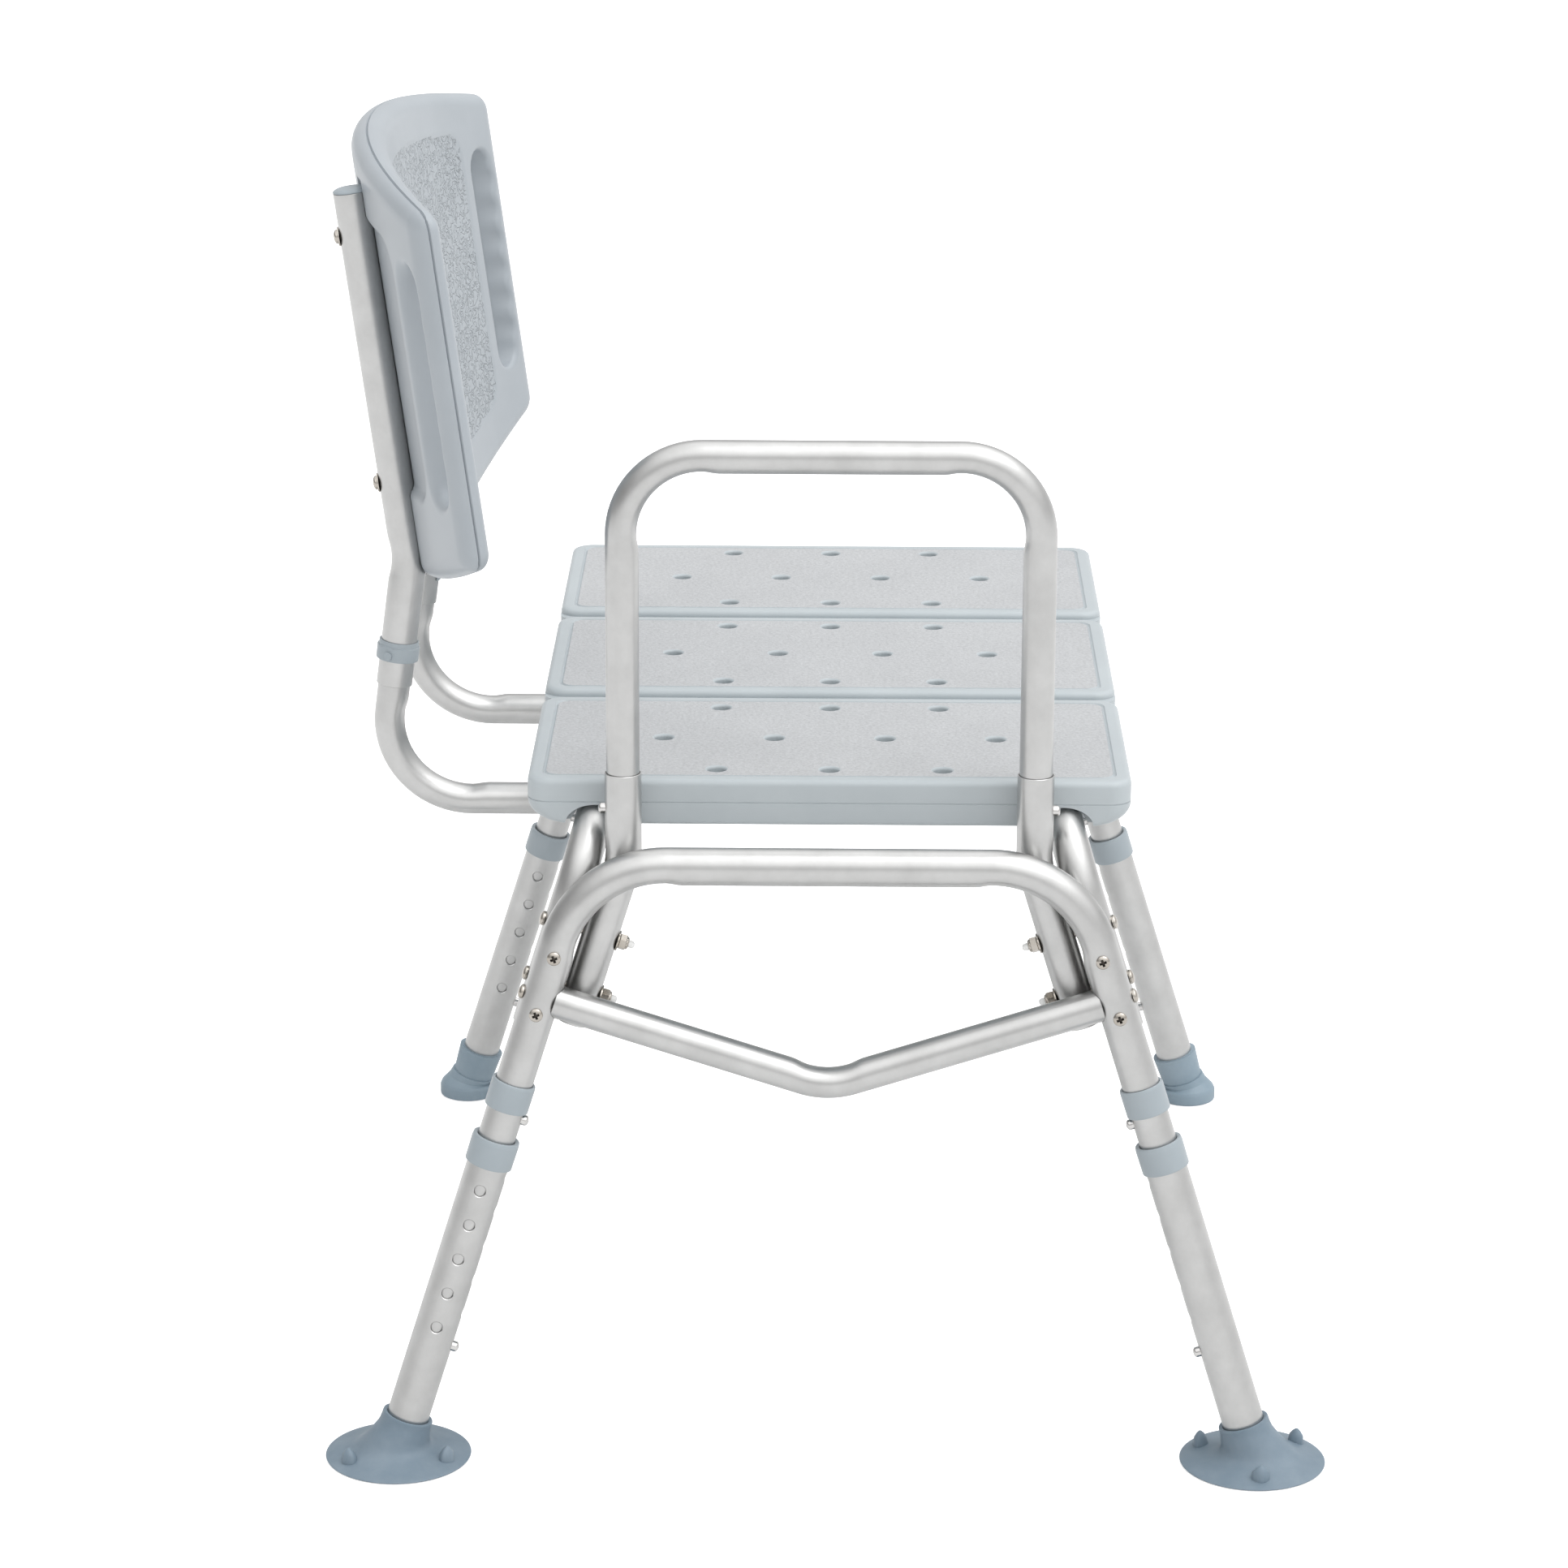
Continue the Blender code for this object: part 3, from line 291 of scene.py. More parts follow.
def wrinkled_plastic(name, dark, light, rough):
    """The backrest's patch: short crossing wrinkles, like crinkled leather."""
    made, tree, shader = new_material(name)
    place = tree.nodes.new("ShaderNodeTexCoord").outputs["Object"]
    slow = blotches(tree, place, 16, dark, light, shader)
    roughness_from(tree, slow, rough - 0.04, rough + 0.06, shader)
    centred = node(tree, "ShaderNodeMath", operation="SUBTRACT")
    centred.inputs[1].default_value = 0.5
    wire(noise(tree, place, 185.0, Detail=1.0, Roughness=0.35, Distortion=1.1), centred.inputs[0])
    distance = node(tree, "ShaderNodeMath", operation="ABSOLUTE")
    wire(centred.outputs["Value"], distance.inputs[0])
    ridge = remap(tree, distance.outputs["Value"], (0.0, 0.055), (1.0, 0.0), interpolation_type="SMOOTHSTEP")
    wire(bump(tree, ridge, 1.0, 0.0009), shader.inputs["Normal"])
    # colour lighter on the raised wrinkles and darker between them, following the relief: painted highlight
    # and painted shade
    tone_over(tree, ridge, (0.0, 1.0), (0.94, 1.10), shader)
    return made


def metal(name, dark, light, rough, streak=True):
    """Satin metal: fine lines along the tube, faint clouds and tiny specks."""
    made, tree, shader = new_material(name)
    shader.inputs["Metallic"].default_value = 1.0
    coordinate = tree.nodes.new("ShaderNodeTexCoord")
    place = coordinate.outputs["Object"]
    source = blotches(tree, place, 45, dark, light, shader)
    normal = bump(tree, noise(tree, place, 1700.0, Detail=3.0), 0.18, 0.00003)
    if streak:
        stretch = node(tree, "ShaderNodeMapping")
        stretch.inputs["Scale"].default_value = (6.0, 1500.0, 1.0)
        wire(coordinate.outputs["UV"], stretch.inputs["Vector"])
        source = noise(tree, stretch.outputs["Vector"], 1.0, Detail=3.0, Roughness=0.7)
        normal = bump(tree, source, 0.22, 0.00003, over=normal)
    roughness_from(tree, source, rough - 0.06, rough + 0.08, shader)
    wire(normal, shader.inputs["Normal"])
    return made


LOOKS = {
    "seat_top": plastic("seat_top", (0.452, 0.462, 0.474), (0.482, 0.492, 0.504), 0.50, 0.00035, 620.0),
    "seat_smooth": plastic("seat_smooth", (0.415, 0.456, 0.476), (0.445, 0.486, 0.506), 0.34),
    "back_smooth": plastic("back_smooth", (0.355, 0.388, 0.418), (0.385, 0.418, 0.448), 0.32),
    "back_patch": wrinkled_plastic("back_patch", (0.385, 0.420, 0.450), (0.430, 0.465, 0.495), 0.44),
    "collar": plastic("collar", (0.315, 0.360, 0.390), (0.345, 0.390, 0.420), 0.34),
    "rubber": plastic("rubber", (0.150, 0.205, 0.255), (0.195, 0.250, 0.300), 0.48, soft=5.0),
    "tip": plastic("tip", (0.215, 0.285, 0.340), (0.265, 0.335, 0.390), 0.48, soft=4.0),
    "aluminium": metal("aluminium", (0.51, 0.51, 0.505), (0.58, 0.58, 0.575), 0.32),
    "chrome": metal("chrome", (0.58, 0.57, 0.56), (0.68, 0.67, 0.66), 0.14, streak=False),
    # near-black metal for the insides of the screws' cross recesses: painted shade
    "painted_recess_shade": metal("painted_recess_shade", (0.070, 0.062, 0.055), (0.110, 0.100, 0.090), 0.55),
    "nickel": metal("nickel", (0.42, 0.385, 0.34), (0.54, 0.51, 0.47), 0.20, streak=False),
    "nylon": plastic("nylon", (0.80, 0.80, 0.79), (0.86, 0.86, 0.85), 0.40),
}


# ---------------------------------------------------------------- mesh helpers

def raw_object(name, points, faces, uvs=None):
    mesh = bpy.data.meshes.new(name)
    mesh.from_pydata(points, [], faces)
    if uvs:
        layer = mesh.uv_layers.new(name="along")
        for k, pair in enumerate(pair for face in uvs for pair in face):
            layer.data[k].uv = pair
    shape = bmesh.new()
    shape.from_mesh(mesh)
    bmesh.ops.recalc_face_normals(shape, faces=shape.faces)
    shape.to_mesh(mesh)
    shape.free()
    item = bpy.data.objects.new(name, mesh)
    bpy.context.collection.objects.link(item)
    return item


def combine(item, cutter, operation="DIFFERENCE"):
    """Applies one exact Boolean and removes the cutter."""
    change = item.modifiers.new("combine", "BOOLEAN")
    change.operation = operation
    change.solver = "EXACT"
    change.object = cutter
    bpy.context.view_layer.update()
    evaluated = item.evaluated_get(bpy.context.evaluated_depsgraph_get())
    mesh = bpy.data.meshes.new_from_object(evaluated)
    item.modifiers.clear()
    item.data = mesh
    bpy.data.objects.remove(cutter, do_unlink=True)


def finish_piece(item, looks, nodes, body=None, sharp=SHARP):
    """Shades the piece, gives it its looks, and hangs it on the bench in place of CAD nodes."""
    if isinstance(looks, str):
        looks = (looks,)
    kept = [polygon.material_index for polygon in item.data.polygons]
    item.data.materials.clear()
    for look in looks:
        item.data.materials.append(LOOKS[look])
    for polygon, index in zip(item.data.polygons, kept):
        polygon.material_index = min(index, len(looks) - 1)
    item.data.shade_smooth()
    item.data.set_sharp_from_angle(angle=sharp)
    for polygon in item.data.polygons:
        if len(polygon.vertices) > MANY_CORNERS:
            polygon.use_smooth = False
    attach(item, body or BODY_OF[nodes[0]])
    if nodes:
        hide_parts(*nodes)


def finish_steel(item, body="frame", sharp=SHARP):
    finish_piece(item, "nickel", (), body=body, sharp=sharp)


def across(axis, reference):
    axis = axis.normalized()
    first = (reference - axis * reference.dot(axis)).normalized()
    return first, axis.cross(first)


def smooth_step(value, low, high):
    share = min(max((value - low) / (high - low), 0), 1)
    return share * share * (3 - 2 * share)


def strip_faces(start_a, start_b, sides):
    return [(start_a + k, start_a + (k + 1) % sides, start_b + (k + 1) % sides, start_b + k)
            for k in range(sides)]


def soften(profile, radius, steps=4):
    """Rounds the corners of a line of number tuples."""
    line = [Vector(point) for point in profile]
    made = [line[0]]
    for before, corner, after in zip(line, line[1:], line[2:]):
        come = corner - before
        leave = after - corner
        back = min(radius, come.length / 2)
        on = min(radius, leave.length / 2)
        start = corner - come.normalized() * back
        end = corner + leave.normalized() * on
        for k in range(steps + 1):
            share = k / steps
            made.append(start.lerp(corner, share).lerp(corner.lerp(end, share), share))
    made.append(line[-1])
    return [tuple(point) for point in made]


def spline(line, steps):
    """A smooth line through number tuples."""
    points = [Vector(point) for point in line]
    padded = [points[0] * 2 - points[1]] + points + [points[-1] * 2 - points[-2]]
    made = []
    for a, b, c, d in zip(padded, padded[1:], padded[2:], padded[3:]):
        for k in range(steps):
            t = k / steps
            made.append(0.5 * (2 * b + (c - a) * t + (2 * a - 5 * b + 4 * c - d) * t * t
                               + (3 * b - a - 3 * c + d) * t ** 3))
    return [tuple(point) for point in made] + [tuple(points[-1])]


def ring_solid(name, rings):
    """A solid from a run of rings of points.  A ring of one point is a pole.  Without poles the
    run is closed on itself."""
    points = []
    starts = []
    for ring in rings:
        starts.append((len(points), len(ring)))
        points.extend(ring)
    pairs = list(zip(starts, starts[1:]))
    if len(rings[0]) > 1 and len(rings[-1]) > 1:
        pairs.append((starts[-1], starts[0]))
    faces = []
    for (start_a, count_a), (start_b, count_b) in pairs:
        if count_a == 1:
            faces += [(start_a, start_b + (k + 1) % count_b, start_b + k) for k in range(count_b)]
        elif count_b == 1:
            faces += [(start_a + k, start_a + (k + 1) % count_a, start_b) for k in range(count_a)]
        else:
            faces += strip_faces(start_a, start_b, count_a)
    return raw_object(name, points, faces)


def circle(centre, first, second, radius, sides):
    if radius <= 1e-7:
        return [centre]
    turn = 2 * math.pi / sides
    return [centre + (first * math.cos(k * turn) + second * math.sin(k * turn)) * radius
            for k in range(sides)]


def level_helper(axis):
    """A direction that is never along axis."""
    return Vector((0, 0, 1)) if abs(axis.normalized().z) < 0.7 else Vector((1, 0, 0))


def turned(name, base, axis, profile, sides=SMALL_SIDES):
    """A turned solid from (radius, distance along the axis) pairs."""
    axis = Vector(axis).normalized()
    first, second = across(axis, level_helper(axis))
    return ring_solid(name, [circle(base + axis * distance, first, second, radius, sides)
                             for radius, distance in profile])


def tube_path(corners, bend_radius):
    """Stations along a bent tube: centre, direction, direction to the bend's inner side, and how
    far the bend's flat has come in, from 0 to 1."""
    stations = []
    first_way = (corners[1] - corners[0]).normalized()
    stations.append((corners[0], first_way, Vector(), 0.0))
    for before, corner, after in zip(corners, corners[1:], corners[2:]):
        come = (corner - before).normalized()
        leave = (after - corner).normalized()
        angle = come.angle(leave)
        reach = bend_radius * math.tan(angle / 2)
        inward = (leave - come).normalized()
        hub = corner + inward * (bend_radius / math.cos(angle / 2))
        start = corner - come * reach
        end = corner + leave * reach
        hinge = come.cross(leave).normalized()
        inner_start = (hub - start).normalized()
        inner_end = (hub - end).normalized()
        for k in range(RAMP_STEPS + 1):
            share = k / RAMP_STEPS
            place = start - come * BEND_RAMP * (1 - share)
            stations.append((place, come, inner_start, smooth_step(share, 0, 1)))
        for k in range(1, BEND_STEPS):
            turn = Matrix.Rotation(angle * k / BEND_STEPS, 3, hinge)
            stations.append((hub + turn @ (start - hub), turn @ come, turn @ inner_start, 1.0))
        for k in range(RAMP_STEPS + 1):
            share = k / RAMP_STEPS
            place = end + leave * BEND_RAMP * share
            stations.append((place, leave, inner_end, 1 - smooth_step(share, 0, 1)))
    last_way = (corners[-1] - corners[-2]).normalized()
    stations.append((corners[-1], last_way, Vector(), 0.0))
    return stations


def tube(name, corners, bend_radius, radius, wall, reference, flat=BEND_FLAT):
    """A hollow tube with slightly rounded ends, and bends pressed flat on their inner side."""
    lip = wall * 0.35
    stations = tube_path(corners, bend_radius)
    first_centre, first_way = stations[0][:2]
    last_centre, last_way = stations[-1][:2]
    stations.insert(1, (first_centre + first_way * lip, first_way, Vector(), 0.0))
    stations.insert(-1, (last_centre - last_way * lip, last_way, Vector(), 0.0))
    reference = Vector(reference)
    rings = []
    lengths = []
    walked = 0.0
    turn = 2 * math.pi / TUBE_SIDES
    for number, (centre, way, inward, share) in enumerate(stations):
        first, second = across(way, reference)
        reference = first
        if number:
            walked += (centre - stations[number - 1][0]).length
        lengths.append(walked)
        trim = lip if number in (0, len(stations) - 1) else 0.0
        outer = []
        inner = []
        for k in range(TUBE_SIDES):
            out = first * math.cos(k * turn) + second * math.sin(k * turn)
            press = inward * (-flat * share * max(out.dot(inward), 0.0)) if share else Vector()
            outer.append(centre + out * (radius - trim) + press)
            inner.append(centre + out * (radius - wall) + press)
        rings.append(outer + inner)
    points = [point for ring in rings for point in ring]
    faces = []
    uvs = []
    step = 2 * TUBE_SIDES
    for number in range(len(rings) - 1):
        for shift in (0, TUBE_SIDES):
            for k in range(TUBE_SIDES):
                a = number * step + shift
                b = (number + 1) * step + shift
                faces.append((a + k, a + (k + 1) % TUBE_SIDES, b + (k + 1) % TUBE_SIDES, b + k))
                low = k * turn * radius
                high = (k + 1) * turn * radius
                here = lengths[number]
                there = lengths[number + 1]
                uvs.append(((here, low), (here, high), (there, high), (there, low)))
    for base in (0, (len(rings) - 1) * step):
        faces += strip_faces(base, base + TUBE_SIDES, TUBE_SIDES)
        uvs += [((0, 0),) * 4] * TUBE_SIDES
    return raw_object(name, points, faces, uvs)


def stacks(name, solids):
    """One object of several solids, each a run of equal loops of points that is capped at both ends."""
    points = []
    faces = []
    for loops in solids:
        base = len(points)
        around = len(loops[0])
        for loop in loops:
            points += loop
        for k in range(len(loops) - 1):
            faces += strip_faces(base + k * around, base + (k + 1) * around, around)
        faces.append(tuple(base + k for k in reversed(range(around))))
        faces.append(tuple(range(len(points) - around, len(points))))
    return raw_object(name, points, faces)


def rods(name, entries, sides=SMALL_SIDES):
    """One cutter of several rods, each (start, end, radius)."""
    solids = []
    for start, end, radius in entries:
        first, second = across(end - start, level_helper(end - start))
        solids.append([circle(centre, first, second, radius, sides) for centre in (start, end)])
    return stacks(name, solids)


def drill(item, places, radius=BUTTON_R + GAP):
    """Drills one side of a tube's wall at each (centre on the axis, direction out)."""
    combine(item, rods("holes", [(centre + out * 0.004, centre + out * 0.020, radius)
                                 for centre, out in places]))


def chamfered_holes(name, entries, along, tube_r, hole_r, chamfer):
    """One cutter for round holes in a tube's wall, with a chamfer that follows the tube's face.
    entries lists each hole's (centre on the axis, direction out)."""
    points = []
    faces = []
    sections = ((hole_r, None, 0.0), (hole_r, 0.0, -chamfer), (hole_r + chamfer, 0.0, 0.0),
                (hole_r + chamfer, 0.0, 0.002))
    for centre, out in entries:
        beside = out.cross(along)
        base = len(points)
        for radius, follow, lift in sections:
            for k in range(SMALL_SIDES):
                angle = 2 * math.pi * k / SMALL_SIDES
                sideways = radius * math.sin(angle)
                height = 0.004 if follow is None else math.sqrt(tube_r ** 2 - sideways ** 2) + lift
                points.append(centre + along * (radius * math.cos(angle)) + beside * sideways + out * height)
        for k in range(len(sections) - 1):
            faces += strip_faces(base + k * SMALL_SIDES, base + (k + 1) * SMALL_SIDES, SMALL_SIDES)
        last = base + (len(sections) - 1) * SMALL_SIDES
        top = len(points)
        points.append(centre + out * (tube_r + 0.002))
        faces.append(tuple(base + k for k in reversed(range(SMALL_SIDES))))
        faces += [(last + k, last + (k + 1) % SMALL_SIDES, top) for k in range(SMALL_SIDES)]
    return raw_object(name, points, faces)


# ---------------------------------------------------------------- places on the legs

def leg_point(end, side, z, step_x=0.0, step_y=0.0):
    x = FRAME_X + end * (LEG_X_FLOOR - SPLAY * z - step_x)
    return Vector((x, side * (LEG_Y_FLOOR - SPREAD * z - step_y), z))


def leg_down(end, side):
    return Vector((end * SPLAY, side * SPREAD, -1)).normalized()


def leg_inward(side):
    return Vector((0, -side, -SPREAD)).normalized()


def plane_normal(end):
    return Vector((end, 0, SPLAY)).normalized()


def end_name(end):
    return "rail_end" if end < 0 else "far_end"


def side_name(side):
    return "back" if side > 0 else "front"


def corner_name(end, side):
    return "{}_{}".format(end_name(end), side_name(side))


# ---------------------------------------------------------------- seat

def rounded_rectangle(x0, x1, half_y, corner, z, steps=9):
    points = []
    for cx, cy, start in ((x1 - corner, half_y - corner, 0), (x0 + corner, half_y - corner, 1),
                          (x0 + corner, corner - half_y, 2), (x1 - corner, corner - half_y, 3)):
        for k in range(steps + 1):
            angle = (start + k / steps) * math.pi / 2
            points.append(Vector((cx + corner * math.cos(angle), cy + corner * math.sin(angle), z)))
    return points


def quarter_round(share):
    """Inset of a quarter round at a share of its height, both from 0 to 1."""
    return 1 - math.sqrt(max(1 - (1 - share) ** 2, 0))


def skirt_layers():
    """Height, inset at the sides and inset at the ends, from the seat's underside to the ledge."""
    layers = []
    inset_y, height = BOTTOM_SIDE_R
    for k in range(15):
        share = (k / 14) ** 1.6
        z = SEAT_BOTTOM_Z + height * share
        end_share = min((z - SEAT_BOTTOM_Z) / BOTTOM_END_R, 1)
        layers.append((z, inset_y * quarter_round(share), BOTTOM_END_R * quarter_round(end_share)))
    for step, depth in ((-0.0005, 0), (-0.0002, 1), (0.0002, 1), (0.0005, 0)):
        layers.append((PARTING_Z + step, PARTING_DEPTH * depth, PARTING_DEPTH * depth))
    layers.append((LEDGE_Z - 0.0012, 0.0, 0.0))
    layers.append((LEDGE_Z - 0.0003, 0.0, 0.0))
    return layers


def panel_holes(middle_x):
    centres = []
    for row, count in enumerate((3, 4, 3)):
        x = middle_x + (row - 1) * HOLE_ROW_PITCH
        for k in range(count):
            centres.append((x, (k - (count - 1) / 2) * HOLE_SPACING))
    return centres


def prism_x(name, low_x, high_x, outline):
    return stacks(name, [[[Vector((x, y, z)) for y, z in outline] for x in (low_x, high_x)]])


def channel_outline(y, radius, flare, centre_z):
    mouth = radius + flare
    outline = [(y - mouth, SEAT_BOTTOM_Z - 0.012), (y + mouth, SEAT_BOTTOM_Z - 0.012)]
    for k in range(25):
        angle = math.pi * k / 24
        outline.append((y + radius * math.cos(angle), centre_z + radius * math.sin(angle)))
    return outline


def seat_panel(number):
    middle = SEAT_X + number * PANEL_PITCH
    plateau = (middle - PLATEAU_LENGTH / 2, middle + PLATEAU_LENGTH / 2)
    seam = PANEL_PITCH / 2 - GAP
    low_x = plateau[0] if number == -1 else middle - seam
    high_x = plateau[1] if number == 1 else middle + seam
    layers = []
    for z, inset_y, inset_x in skirt_layers():
        layers.append(rounded_rectangle(low_x + inset_x, high_x - inset_x, SEAT_HALF_WIDTH - inset_y,
                                        PANEL_CORNER_R, z))
    edge = []
    for k in range(9):
        angle = math.pi / 2 * k / 8
        edge.append((PLATEAU_R * (1 - math.cos(angle)), SEAT_TOP_Z - PLATEAU_R * (1 - math.sin(angle))))
    edge.insert(0, (0.0, LEDGE_Z))
    for inset, z in edge:
        layers.append(rounded_rectangle(plateau[0] + inset, plateau[1] - inset, SEAT_HALF_WIDTH - inset,
                                        PANEL_CORNER_R - inset * 0.6, z + 0.00002))
    groove = [(0, 0)] + [(k / 6, math.sin(math.pi * k / 6)) for k in range(1, 6)] + [(1, 0)]
    for across_share, depth in groove:
        inset = GROOVE_INSET + GROOVE_WIDTH * across_share
        layers.append(rounded_rectangle(plateau[0] + inset, plateau[1] - inset, SEAT_HALF_WIDTH - inset,
                                        GROOVE_CORNER_R, SEAT_TOP_Z - GROOVE_DEPTH * depth + 0.00002))
    name = "seat_panel_" + {-1: "rail_end", 0: "middle", 1: "far_end"}[number]
    panel = stacks(name + "_shell", [layers])
    for polygon in panel.data.polygons:
        flat_top = polygon.normal.z > 0.999 and polygon.center.z > SEAT_TOP_Z - 0.0001
        polygon.material_index = 1 if flat_top and len(polygon.vertices) > 4 else 0
    panel.data.materials.append(LOOKS["seat_smooth"])
    panel.data.materials.append(LOOKS["seat_top"])
    rail_y = LEG_Y_FLOOR - SPREAD * RAIL_Z
    low = low_x + SKIRT_WALL if number == -1 else low_x - 0.012
    high = high_x - SKIRT_WALL if number == 1 else high_x + 0.012
    for side in (-1, 1):
        outline = channel_outline(side * rail_y, FRAME_R + 0.0007, 0.0120, RAIL_Z)
        combine(panel, prism_x("channel", low, high, outline))
        if number:
            wall = low_x if number == -1 else high_x
            arch = channel_outline(side * rail_y, ARCH_HALF_WIDTH, 0.0005, SEAT_BOTTOM_Z)
            rise = (ARCH_TOP_Z - SEAT_BOTTOM_Z) / ARCH_HALF_WIDTH
            arch = arch[:2] + [(y, SEAT_BOTTOM_Z + (z - SEAT_BOTTOM_Z) * rise) for y, z in arch[2:]]
            combine(panel, prism_x("arch", wall - 0.012, wall + 0.012, arch))
    combine(panel, drain_cutter(middle))
    finish_piece(panel, ("seat_smooth", "seat_top"), (name,))


def drain_cutter(middle_x):
    """Drain holes: rounded at the top, widening to a cone below."""
    profile = [(HOLE_R + HOLE_FLARE + 0.0004, SEAT_TOP_Z + 0.006)]
    for k in range(7):
        angle = math.pi / 2 * k / 6
        profile.append((HOLE_R + HOLE_FLARE * (1 - math.sin(angle)),
                        SEAT_TOP_Z + 0.0001 - HOLE_FLARE * (1 - math.cos(angle))))
    profile.append((HOLE_R, SEAT_BOTTOM_Z + 0.016))
    profile.append((HOLE_R + 0.0045, SEAT_BOTTOM_Z - 0.004))
    along = Vector((1, 0, 0))
    beside = Vector((0, 1, 0))
    return stacks("drains", [[circle(Vector((x, y, z)), along, beside, radius, SMALL_SIDES)
                              for radius, z in profile] for x, y in panel_holes(middle_x)])


# ---------------------------------------------------------------- fasteners

HEAD_SEAT_R = FRAME_R - 0.0004       # heads sink a little into the tube's round face
FRAME_SCREW_HEAD = (0.0047, 0.0030)  # radius and height
BACK_SCREW_HEAD = (0.0048, 0.0032)
BOLT_HEAD = (0.0050, 0.0036)
PAN_EDGE = 0.35                      # a pan head's edge, as a share of its height
SCREW_SHARP = math.radians(28)
NUT_R = 0.0054
NUT_BORE_R = 0.0030
NUT_HEIGHT = 0.0051
INSERT_TOP = 0.0067                  # top of the nut's locking ring


def cross_recess(item, centre, axis, size, depth):
    """Cuts a cross into a screw head whose top is at centre, facing along axis."""
    first, second = across(axis, Vector((0.3, 0.4, 1.0)))
    for along, beside in ((first, second), (second, first)):
        loops = []
        for height, shrink in ((-depth, 0.55), (depth, 1.15)):
            half_width = size * 0.30 * (0.6 + 0.4 * shrink)
            loops.append([centre + axis * height + along * (a * size * shrink) + beside * (b * half_width)
                          for a, b in ((-1, -1), (1, -1), (1, 1), (-1, 1))])
        combine(item, stacks("cross", [loops]))


def pan_profile(radius, height, shank, depth):
    dome = []
    for k in range(9):
        rise = PAN_EDGE + (1 - PAN_EDGE) * math.sin(math.pi / 2 * k / 8)
        dome.append((radius * math.sin(math.pi / 2 * (1 - k / 8)), height * rise))
    dome[-1] = (0.0, height)
    return [(0.0, -depth), (shank, -depth), (shank, 0.0), (radius * 0.96, 0.0)] + dome


def pan_screw(name, seat_point, out, size, body="frame", nodes=(), cross=True, depth=0.004, shank=0.0022):
    """A pan-head screw whose head stands on seat_point and faces out.  The cross recess gets a near-black
    metal: painted shade.
    """
    radius, height = size
    looks = "nickel"
    item = turned(name, seat_point, out, pan_profile(radius, height, shank, depth))
    if cross:
        cross_recess(item, seat_point + out * height, out, radius * 0.66, height * 0.70)
        # faces sunk into the cross take the near-black look: painted shade
        for polygon in item.data.polygons:
            away = polygon.center - seat_point
            rise = away.dot(out)
            share = (away - out * rise).length / radius
            below_dome = 0.0001 < rise < height * (1 - PAN_EDGE * share ** 2) - 0.0003
            polygon.material_index = 1 if share < 0.70 and below_dome else 0
        looks = ("nickel", "painted_recess_shade")
    if nodes:
        finish_piece(item, looks, nodes, sharp=SCREW_SHARP)
    else:
        finish_piece(item, looks, nodes, body=body, sharp=SCREW_SHARP)


def button(name, centre, out, inner, outer):
    dome = []
    for k in range(9):
        angle = math.pi / 2 * k / 8
        dome.append((BUTTON_R * math.cos(angle), outer - BUTTON_DOME * (1 - math.sin(angle))))
    dome[-1] = (0.0, outer)
    item = turned(name + "_pin", centre, out, [(0.0, inner), (BUTTON_R, inner)] + dome)
    finish_piece(item, "chrome", (name,))


def frame_screws():
    for end in (-1, 1):
        out = plane_normal(end)
        for side in (-1, 1):
            for number, z in enumerate(FRAME_SCREW_Z, 1):
                name = "frame_screw_{}_{}".format(corner_name(end, side), number)
                pan_screw(name, leg_point(end, side, z) + out * HEAD_SEAT_R, out, FRAME_SCREW_HEAD)
            base = leg_point(end, side, BRACE_END_Z) - leg_inward(side) * HEAD_SEAT_R
            name = "brace_bolt_" + corner_name(end, side)
            pan_screw(name, base, -leg_inward(side), BOLT_HEAD, cross=False)


def socket_bolts():
    """Bolts through rail and socket: a domed head, a washer, a hex nut and a nylon cap."""
    for side in (-1, 1):
        inward = leg_inward(side)
        for number, z in enumerate(SOCKET_BOLT_Z, 1):
            node_name = "socket_bolt_{}_{}".format(side_name(side), number)
            centre = leg_point(-1, side, z, step_x=RAIL_STEP_X)
            far = SOCKET_STEP_Y * -inward.y * side + SLEEVE_R - 0.0003
            pan_screw(node_name + "_head", centre - inward * HEAD_SEAT_R, -inward, BOLT_HEAD,
                      nodes=(node_name,), cross=False, depth=far + FRAME_R + 0.002, shank=0.0027)
            washer = turned(node_name + "_washer", centre, inward,
                            soften([(0.0030, far), (0.0069, far), (0.0069, far + 0.0013),
                                    (0.0030, far + 0.0017)], 0.0003))
            finish_steel(washer)
            hex_nut(node_name + "_nut", centre + inward * (far + 0.0014), inward)
            tip = far + 0.0014 + 0.0066
            cap = turned(node_name + "_cap", centre, inward,
                         soften([(0.0, tip - 0.001), (0.0025, tip - 0.001), (0.0025, tip + 0.0030),
                                 (0.0014, tip + 0.0042), (0.0, tip + 0.0044)], 0.0010))
            finish_piece(cap, "nylon", (), body="frame")


def hex_nut(name, base, axis):
    first, second = across(axis, Vector((0, 0, 1)))
    outline = ((NUT_BORE_R, 0.0), (NUT_R - 0.0005, 0.0), (NUT_R, 0.0006), (NUT_R, NUT_HEIGHT - 0.0005),
               (NUT_R - 0.0004, NUT_HEIGHT), (NUT_BORE_R, NUT_HEIGHT))
    body = ring_solid(name, [circle(base + axis * distance, first, second, radius, 6)
                             for radius, distance in outline])
    finish_steel(body, sharp=math.radians(20))
    insert = turned(name + "_insert", base, axis,
                    soften([(0.0, 0.0040), (0.0043, 0.0040), (0.0043, 0.0060), (0.0034, INSERT_TOP),
                            (0.0, INSERT_TOP)], 0.0006))
    finish_steel(insert)


# ---------------------------------------------------------------- frame tubes

